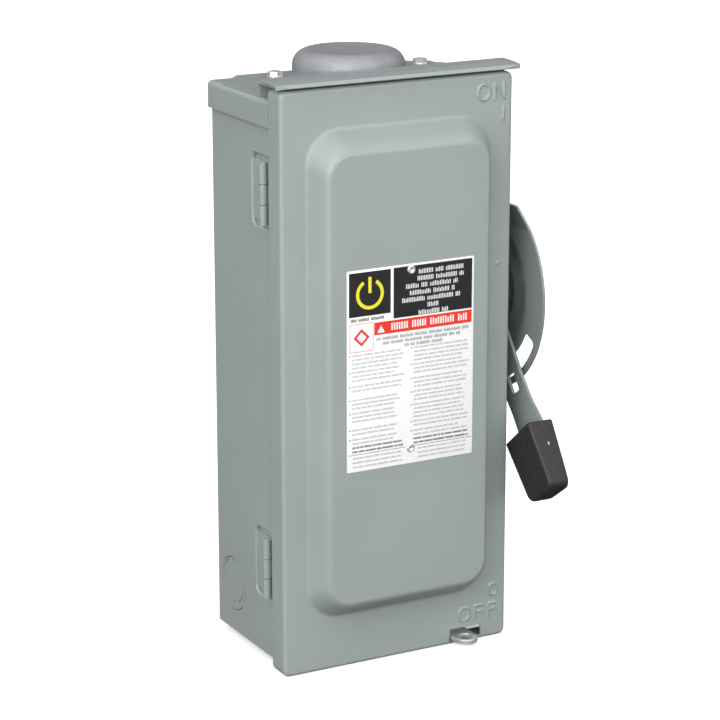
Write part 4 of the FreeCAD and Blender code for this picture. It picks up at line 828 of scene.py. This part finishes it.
def smooth_step(value, start, end):
    """0 before start, 1 after end and smooth in between."""
    t = min(max((value - start) / (end - start), 0.0), 1.0)
    return t * t * (3 - 2 * t)


def arm_half_width(u):
    """Half width of the arm: round root, straight middle, flare into the grip and a narrower tip."""
    rounded = math.sqrt(max(ARM_ROOT_R ** 2 - u ** 2, 0))
    if u < 0:
        return max(rounded, 0.4)
    width = max(rounded, ARM_HALF_W) + ARM_FLARE * smooth_step(u, 82, 102)
    return width - ARM_TIP_TAPER * smooth_step(u, 104, 133)


def arm_offset(u, v):
    """How far the arm's sheet is pressed outwards: its edges roll out as it nears the grip."""
    share = v / (ARM_HALF_W + ARM_FLARE)
    return ARM_ROLL * smooth_step(u, 62, 100) * share ** 2 * (1 - smooth_step(u, 104, 126))


def handle_arm():
    """Pressed steel arm with the padlock slot, rolled outwards where it enters the grip."""
    lines = spaced((-ARM_ROOT_R, -14.0, 0.5), (-14.0, ARM_ROOT_R, 1.5), (ARM_ROOT_R, 60.0, 4.0),
                   (60.0, ARM_LEN, 2.0))
    shares = np.linspace(-1, 1, 25)
    points, faces = [], []
    for u in lines:
        for share in shares:
            v = share * arm_half_width(u)
            points.append(arm_point(ARM_LOW.x + arm_offset(u, v), u, v))
    count = len(shares)
    for j in range(len(lines) - 1):
        faces += [(j * count + i, j * count + i + 1, (j + 1) * count + i + 1, (j + 1) * count + i)
                  for i in range(count - 1)]
    arm = new_object("handle_arm_pressed", points, faces)
    towards_wall_side(arm)
    thicken(arm, ARM_SHEET)
    slot = round_box(*ARM_SLOT_U, *ARM_SLOT_V, ARM_SLOT_CORNER, 6)
    shaft_hole = arc((0, 0), SHAFT_R, 0, 345, 23)
    for outline in (slot, shaft_hole):
        cutter = [arm_point(ARM_LOW.x - 5, u, v) for u, v in outline]
        cut_away(arm, extruded("arm_cutter", cutter, (15, 0, 0)))
    bevel(arm, 0.25, 2)
    finish_mesh(arm)
    # painted shade: the arm takes the darkened copy of the grey enamel
    return place(arm, "handle", "grey_paint", "handle_arm", finish=SHADED_GREY_PAINT)


def towards_wall_side(obj):
    """Make a sheet's normals face -X, so that its thickness grows outwards."""
    bm = bmesh.new()
    bm.from_mesh(obj.data)
    bmesh.ops.recalc_face_normals(bm, faces=bm.faces)
    if sum(face.normal.x * face.calc_area() for face in bm.faces) > 0:
        bmesh.ops.reverse_faces(bm, faces=bm.faces)
    bm.to_mesh(obj.data)
    bm.free()


def grip_section(u):
    """Half thickness, rear reach and front reach of the grip at a distance along the arm."""
    share = (u - GRIP_START) / (GRIP_END - GRIP_START)
    half_t = GRIP_HALF_T - GRIP_THINNING * share - round_off(u, GRIP_EDGE_R)
    rear = GRIP_REAR - GRIP_REAR_TAPER * share
    tuck = round_off(u, GRIP_TIP_R)
    return half_t, rear - tuck, GRIP_FRONT - tuck


def round_off(u, radius):
    """How far a surface curves in at u because of the radius round the grip's end."""
    past = max(u - (GRIP_END - radius), 0.0)
    return radius - math.sqrt(max(radius ** 2 - past ** 2, 0.0))


def grip_ring(u, inset):
    """Closed ring of points round the grip, shrunk by inset."""
    half_t, rear, front = (reach - inset for reach in grip_section(u))
    corner = min(GRIP_EDGE_R, half_t * 0.9)
    skew = GRIP_SKEW * (1 - smooth_step(u, GRIP_START, 140.0))
    ring = []
    for a, b in round_box(-half_t, half_t, -rear, front, corner, 6):
        shift = skew * (GRIP_FRONT - b) / (GRIP_FRONT + GRIP_REAR)
        ring.append(arm_point(GRIP_X + a, u + shift, b))
    return ring


def handle_grip():
    """Tapered vinyl sleeve with a rolled rim where the arm enters it."""
    stations = list(GRIP_MOUTH)
    stations += [(u, 0.0) for u in spaced((102.5, 136.0, 3.0), (136.0, 142.0, 0.75), (142.0, GRIP_END, 0.2))]
    rings = [grip_ring(u, inset) for u, inset in stations]
    points = [point for ring in rings for point in ring]
    count = len(rings[0])
    numbers = [range(k * count, (k + 1) * count) for k in range(len(rings))]
    faces = [tuple(numbers[0])]
    for previous, current in zip(numbers, numbers[1:]):
        faces += strip_faces(previous, current)
    faces.append(tuple(numbers[-1])[::-1])
    grip = outward(new_object("grip_sleeve", points, faces))
    finish_mesh(grip, 50)
    return place(grip, "handle", "black_vinyl", "handle_grip")


def grip_pip():
    """Small pale bump proud of the grip's front face."""
    centre_u, half_u, centre_x, half_x = 116.0, 1.1, GRIP_X + 0.9, 0.45
    root_v, height = GRIP_FRONT - 0.3, 0.55
    outline = [arm_point(centre_x + half_x * a, centre_u + half_u * b, root_v)
               for a, b in ((-1, -1), (1, -1), (1, 1), (-1, 1))]
    lift = Vector(arm_point(0, 0, height)) - Vector(arm_point(0, 0, 0))
    pip = extruded("grip_pip", outline, tuple(lift))
    bevel(pip, 0.3, 3)
    finish_mesh(pip)
    return place(pip, "handle", "white_moulding")


# ---------------------------------------------------------------- guard
def guard_x(radius, height):
    """Inner face of the guard: flat rim, two pressed-out steps, and a top that leans to the wall."""
    x = GUARD_X + sum(depth * (1 - smooth_step(radius, *slope)) for depth, *slope in GUARD_STEPS)
    past, soft = height - GUARD_FOLD_H, 1.2
    lean = 0.5 * (past + math.sqrt(past * past + soft * soft))
    return x - math.tan(GUARD_TILT) * lean


def guard_reach(turn):
    """Radius of the guard's edge: a circle, but a straight line in front of the leaning top."""
    fold_z, top_z = GUARD_FOLD_H - PIVOT.z + FLOOR_H, GUARD_HIGH.z - PIVOT.z
    fold_y, top_y = math.sqrt(GUARD_R ** 2 - fold_z ** 2), PIVOT.y - GUARD_TOP_FRONT_Y
    forward, up = -math.cos(turn), math.sin(turn)
    if up * GUARD_R <= fold_z:
        return GUARD_R
    if forward <= 0:
        return top_z / up + 1.0
    slope = (top_y - fold_y) / (top_z - fold_z)
    reach = (fold_y - slope * fold_z) / (forward - slope * up)
    return min(reach, top_z / up + 1.0) if reach > 0 else top_z / up + 1.0


def handle_guard():
    """Round pressed guard outside the arm, with its two slots and the foot that holds it to the wall."""
    shares = [0.09, 0.18] + list(spaced((0.25, 0.75, 0.011), (0.75, 1.0, 0.025)))
    steps = 240
    turns = [2 * math.pi * k / steps for k in range(steps)]
    points = [(guard_x(0, PIVOT.z - FLOOR_H), PIVOT.y, PIVOT.z)]
    faces = []
    for share in shares:
        for turn in turns:
            radius = share * guard_reach(turn)
            y, z = PIVOT.y + radius * math.cos(turn), PIVOT.z + radius * math.sin(turn)
            points.append((guard_x(radius, z - FLOOR_H), y, z))
    faces += [(0, 1 + k, 1 + (k + 1) % steps) for k in range(steps)]
    for j in range(len(shares) - 1):
        a, b = 1 + j * steps, 1 + (j + 1) * steps
        faces += [(a + k, b + k, b + (k + 1) % steps, a + (k + 1) % steps) for k in range(steps)]
    plate = new_object("guard_plate", points, faces)
    trim_guard(plate)
    towards_wall_side(plate)
    thicken(plate, GUARD_SHEET)
    finish_mesh(plate)
    for outline in (arc_slot_outline(), top_slot_outline()):
        cutter = [(GUARD_X - 12, y, z) for y, z in outline]
        cut_away(plate, extruded("guard_cutter", cutter, (30, 0, 0)))
    bevel(plate, 0.3, 2)
    finish_mesh(plate)
    guard = joined("guard_pressed", [plate, guard_foot()])
    # painted shade: the guard takes the darkened copy of the grey enamel
    return place(guard, "enclosure", "grey_paint", "handle_guard", finish=SHADED_GREY_PAINT)


def trim_guard(plate):
    """Cut the guard's sheet straight at its top, bottom and rear."""
    bm = bmesh.new()
    bm.from_mesh(plate.data)
    for point, normal in (((0, 0, GUARD_HIGH.z), (0, 0, 1)), ((0, 0, GUARD_LOW.z), (0, 0, -1)),
                          ((0, GUARD_REAR_Y, 0), (0, 1, 0))):
        everything = bm.verts[:] + bm.edges[:] + bm.faces[:]
        bmesh.ops.bisect_plane(bm, geom=everything, plane_co=Vector(point) * MM, plane_no=normal,
                               clear_outer=True, dist=1e-7)
    bm.to_mesh(plate.data)
    bm.free()


def arc_slot_outline():
    """Arc-shaped padlock slot with rounded corners, between two angles above straight forward."""
    low, high = ARC_SLOT_TURN
    near, far = ARC_SLOT_R[0] + ARC_SLOT_CORNER, ARC_SLOT_R[1] - ARC_SLOT_CORNER
    corners = []
    for edge, inward, radius, first in ((high, -1, far, 90), (high, -1, near, 0),
                                        (low, 1, near, -90), (low, 1, far, -180)):
        swing = ARC_SLOT_CORNER / radius
        corners.append([(edge + swing * (inward + a), radius + ARC_SLOT_CORNER * b)
                        for a, b in arc((0, 0), 1.0, first, first - 90, 5)])
    outer_high, inner_high, inner_low, outer_low = corners
    polar = outer_high + inner_high + curved(inner_high[-1], inner_low[0]) + inner_low
    polar += outer_low + curved(outer_low[-1], outer_high[0])
    return [(PIVOT.y - math.cos(turn) * radius, PIVOT.z + math.sin(turn) * radius) for turn, radius in polar]


def curved(start, end, steps=24):
    """Points strictly between two (angle, radius) points of one radius."""
    return [(turn, start[1]) for turn in np.linspace(start[0], end[0], steps + 1)[1:-1]]


def top_slot_outline():
    """Straight slot with round ends below the guard's fold."""
    z, (front_y, rear_y) = TOP_SLOT_H + FLOOR_H, TOP_SLOT_Y
    return arc((rear_y, z), TOP_SLOT_HALF_H, -90, 90, 10) + arc((front_y, z), TOP_SLOT_HALF_H, 90, 270, 10)


def guard_foot():
    """Bent strip from the guard's rear edge to the wall, with rounded bends."""
    rear_y, toe_x = GUARD_REAR_Y + GUARD_SHEET, WALL_X + GUARD_SHEET
    plate_x, rows = GUARD_X + GUARD_SHEET, 12
    path = [(plate_x, rear_y - 12.0)]
    path += arc((plate_x - FOOT_BEND, rear_y - FOOT_BEND), FOOT_BEND, 0, 90, 6)
    path += arc((toe_x + FOOT_BEND, rear_y + FOOT_BEND), FOOT_BEND, 270, 180, 6)
    path += [(toe_x, GUARD_HIGH.y)]
    points = [(x, y, PIVOT.z + z) for z in np.linspace(-FOOT_HALF_H, FOOT_HALF_H, rows + 1) for x, y in path]
    count = len(path)
    faces = [(j * count + i, j * count + i + 1, (j + 1) * count + i + 1, (j + 1) * count + i)
             for j in range(rows) for i in range(count - 1)]
    foot = new_object("guard_foot", points, faces)
    bm = bmesh.new()
    bm.from_mesh(foot.data)
    bmesh.ops.recalc_face_normals(bm, faces=bm.faces)
    if bm.faces[0].normal.x < 0:
        bmesh.ops.reverse_faces(bm, faces=bm.faces)
    bm.to_mesh(foot.data)
    bm.free()
    thicken(foot, GUARD_SHEET)
    bevel(foot, 0.3, 2)
    return finish_mesh(foot)


# ---------------------------------------------------------------- stage, lights and camera
LIGHT_FROM = (-0.52, -0.70, 0.49)            # the surround is brightest towards here
SURROUND_SPAN = ((-0.55, 0.08), (0.9, 1.60))    # (cosine to that direction, strength), dim and bright end
FLOOR_LIT = (0.07, 0.08)                     # the floor's own grey as the object sees it
FLOOR_SEEN, FLOOR_GLOW = 0.90, 0.45          # and as the camera sees it
SOFT_LIGHTS = (                              # name, place and aim in metres, size, power
    ("key", (-1.5, -1.9, 1.3), (0, 0, 0), (2.0, 1.6), 20.0),
    ("front_fill", (0.9, -2.3, 0.5), (0, 0, 0), (1.4, 1.4), 9.0),
    ("edge_strip", (-0.62, -0.42, 0.10), (-0.08, -0.09, 0.0), (0.16, 0.55), 1.2),
)
CAMERA_PLACE = (-0.77758, -1.48093, 0.45578)
CAMERA_AZIMUTH, CAMERA_ELEVATION = math.radians(-28.553), math.radians(15.690)
CAMERA_LENS = 132.97
SENSOR_W = 36.0


def area_light(name, place_m, aim, size, power):
    """Soft rectangular light aimed at a point."""
    data = bpy.data.lights.new(name, "AREA")
    data.shape = "RECTANGLE"
    data.size, data.size_y = size
    data.energy = power
    light = bpy.data.objects.new(name, data)
    light.location = place_m
    light.rotation_mode = "QUATERNION"
    light.rotation_quaternion = (Vector(aim) - Vector(place_m)).to_track_quat("-Z", "Y")
    bpy.context.scene.collection.objects.link(light)


def seen_white(tree, seen, lit):
    """Socket that gives a grey to the camera and another colour to everything that it lights."""
    path = tree.nodes.new("ShaderNodeLightPath")
    mix = tree.nodes.new("ShaderNodeMix")
    mix.data_type = "RGBA"
    tree.links.new(path.outputs["Is Camera Ray"], mix.inputs[0])
    tree.links.new(lit, mix.inputs[6])
    mix.inputs[7].default_value = (seen, seen, seen, 1.0)
    return mix.outputs[2]


def surround():
    """White to the camera; as a light it is strong from the upper left front and dim from below."""
    world = bpy.data.worlds.new("surround")
    world.use_nodes = True
    tree = world.node_tree
    direction = tree.nodes.new("ShaderNodeTexCoord").outputs["Generated"]
    dot = tree.nodes.new("ShaderNodeVectorMath")
    dot.operation = "DOT_PRODUCT"
    dot.inputs[1].default_value = LIGHT_FROM
    tree.links.new(direction, dot.inputs[0])
    ramp = tree.nodes.new("ShaderNodeMapRange")
    for end, (cosine, strength) in zip(("Min", "Max"), SURROUND_SPAN):
        ramp.inputs["From " + end].default_value = cosine
        ramp.inputs["To " + end].default_value = strength
    tree.links.new(dot.outputs["Value"], ramp.inputs["Value"])
    background = tree.nodes["Background"]
    tree.links.new(seen_white(tree, 1.0, ramp.outputs["Result"]), background.inputs["Color"])
    return world


def pale_floor():
    """Matt floor that looks white to the camera and throws little light on the object."""
    f = Finish("floor_pale")
    dark, light = ((grey, grey, grey) for grey in FLOOR_LIT)
    dim = f.blend(f.spread(f.noise(3.0), 0.0, 1.0), dark, light)
    tree = f.material.node_tree
    f.link(seen_white(tree, FLOOR_SEEN, dim), f.shader.inputs["Base Color"])
    black = tree.nodes.new("ShaderNodeRGB")
    black.outputs[0].default_value = (0.0, 0.0, 0.0, 1.0)
    f.link(seen_white(tree, FLOOR_GLOW, black.outputs[0]), f.shader.inputs["Emission Color"])
    f.set(Roughness=0.9, Emission_Strength=1.0)
    return f.material


def floor():
    """Flat floor under the object."""
    bottom, reach = CAD_BOX[0].z, 6.0
    mesh = bpy.data.meshes.new("floor")
    mesh.from_pydata([(-reach, -reach, bottom), (reach, -reach, bottom), (reach, reach, bottom),
                      (-reach, reach, bottom)], [], [(0, 1, 2, 3)])
    obj = bpy.data.objects.new("floor", mesh)
    bpy.context.scene.collection.objects.link(obj)
    obj.data.materials.append(pale_floor())


def studio():
    """White surround, a pale floor and soft lights."""
    bpy.context.scene.world = surround()
    floor()
    for light in SOFT_LIGHTS:
        area_light(*light)


def camera():
    """Camera at the photograph's viewing angle."""
    data = bpy.data.cameras.new("camera")
    data.lens = CAMERA_LENS
    data.sensor_width = SENSOR_W
    cam = bpy.data.objects.new("camera", data)
    level = math.cos(CAMERA_ELEVATION)
    back = Vector((math.sin(CAMERA_AZIMUTH) * level, -math.cos(CAMERA_AZIMUTH) * level,
                   math.sin(CAMERA_ELEVATION)))
    cam.location = CAMERA_PLACE
    cam.rotation_mode = "QUATERNION"
    cam.rotation_quaternion = (-back).to_track_quat("-Z", "Y")
    bpy.context.scene.collection.objects.link(cam)
    bpy.context.scene.camera = cam


# ---------------------------------------------------------------- build
dress_cad_nodes()
door_skin()
label_stock()
label_print()
label_rivets()
handle_arm()
handle_grip()
grip_pip()
handle_guard()
studio()
camera()
bpy.context.scene.view_settings.view_transform = "Standard"
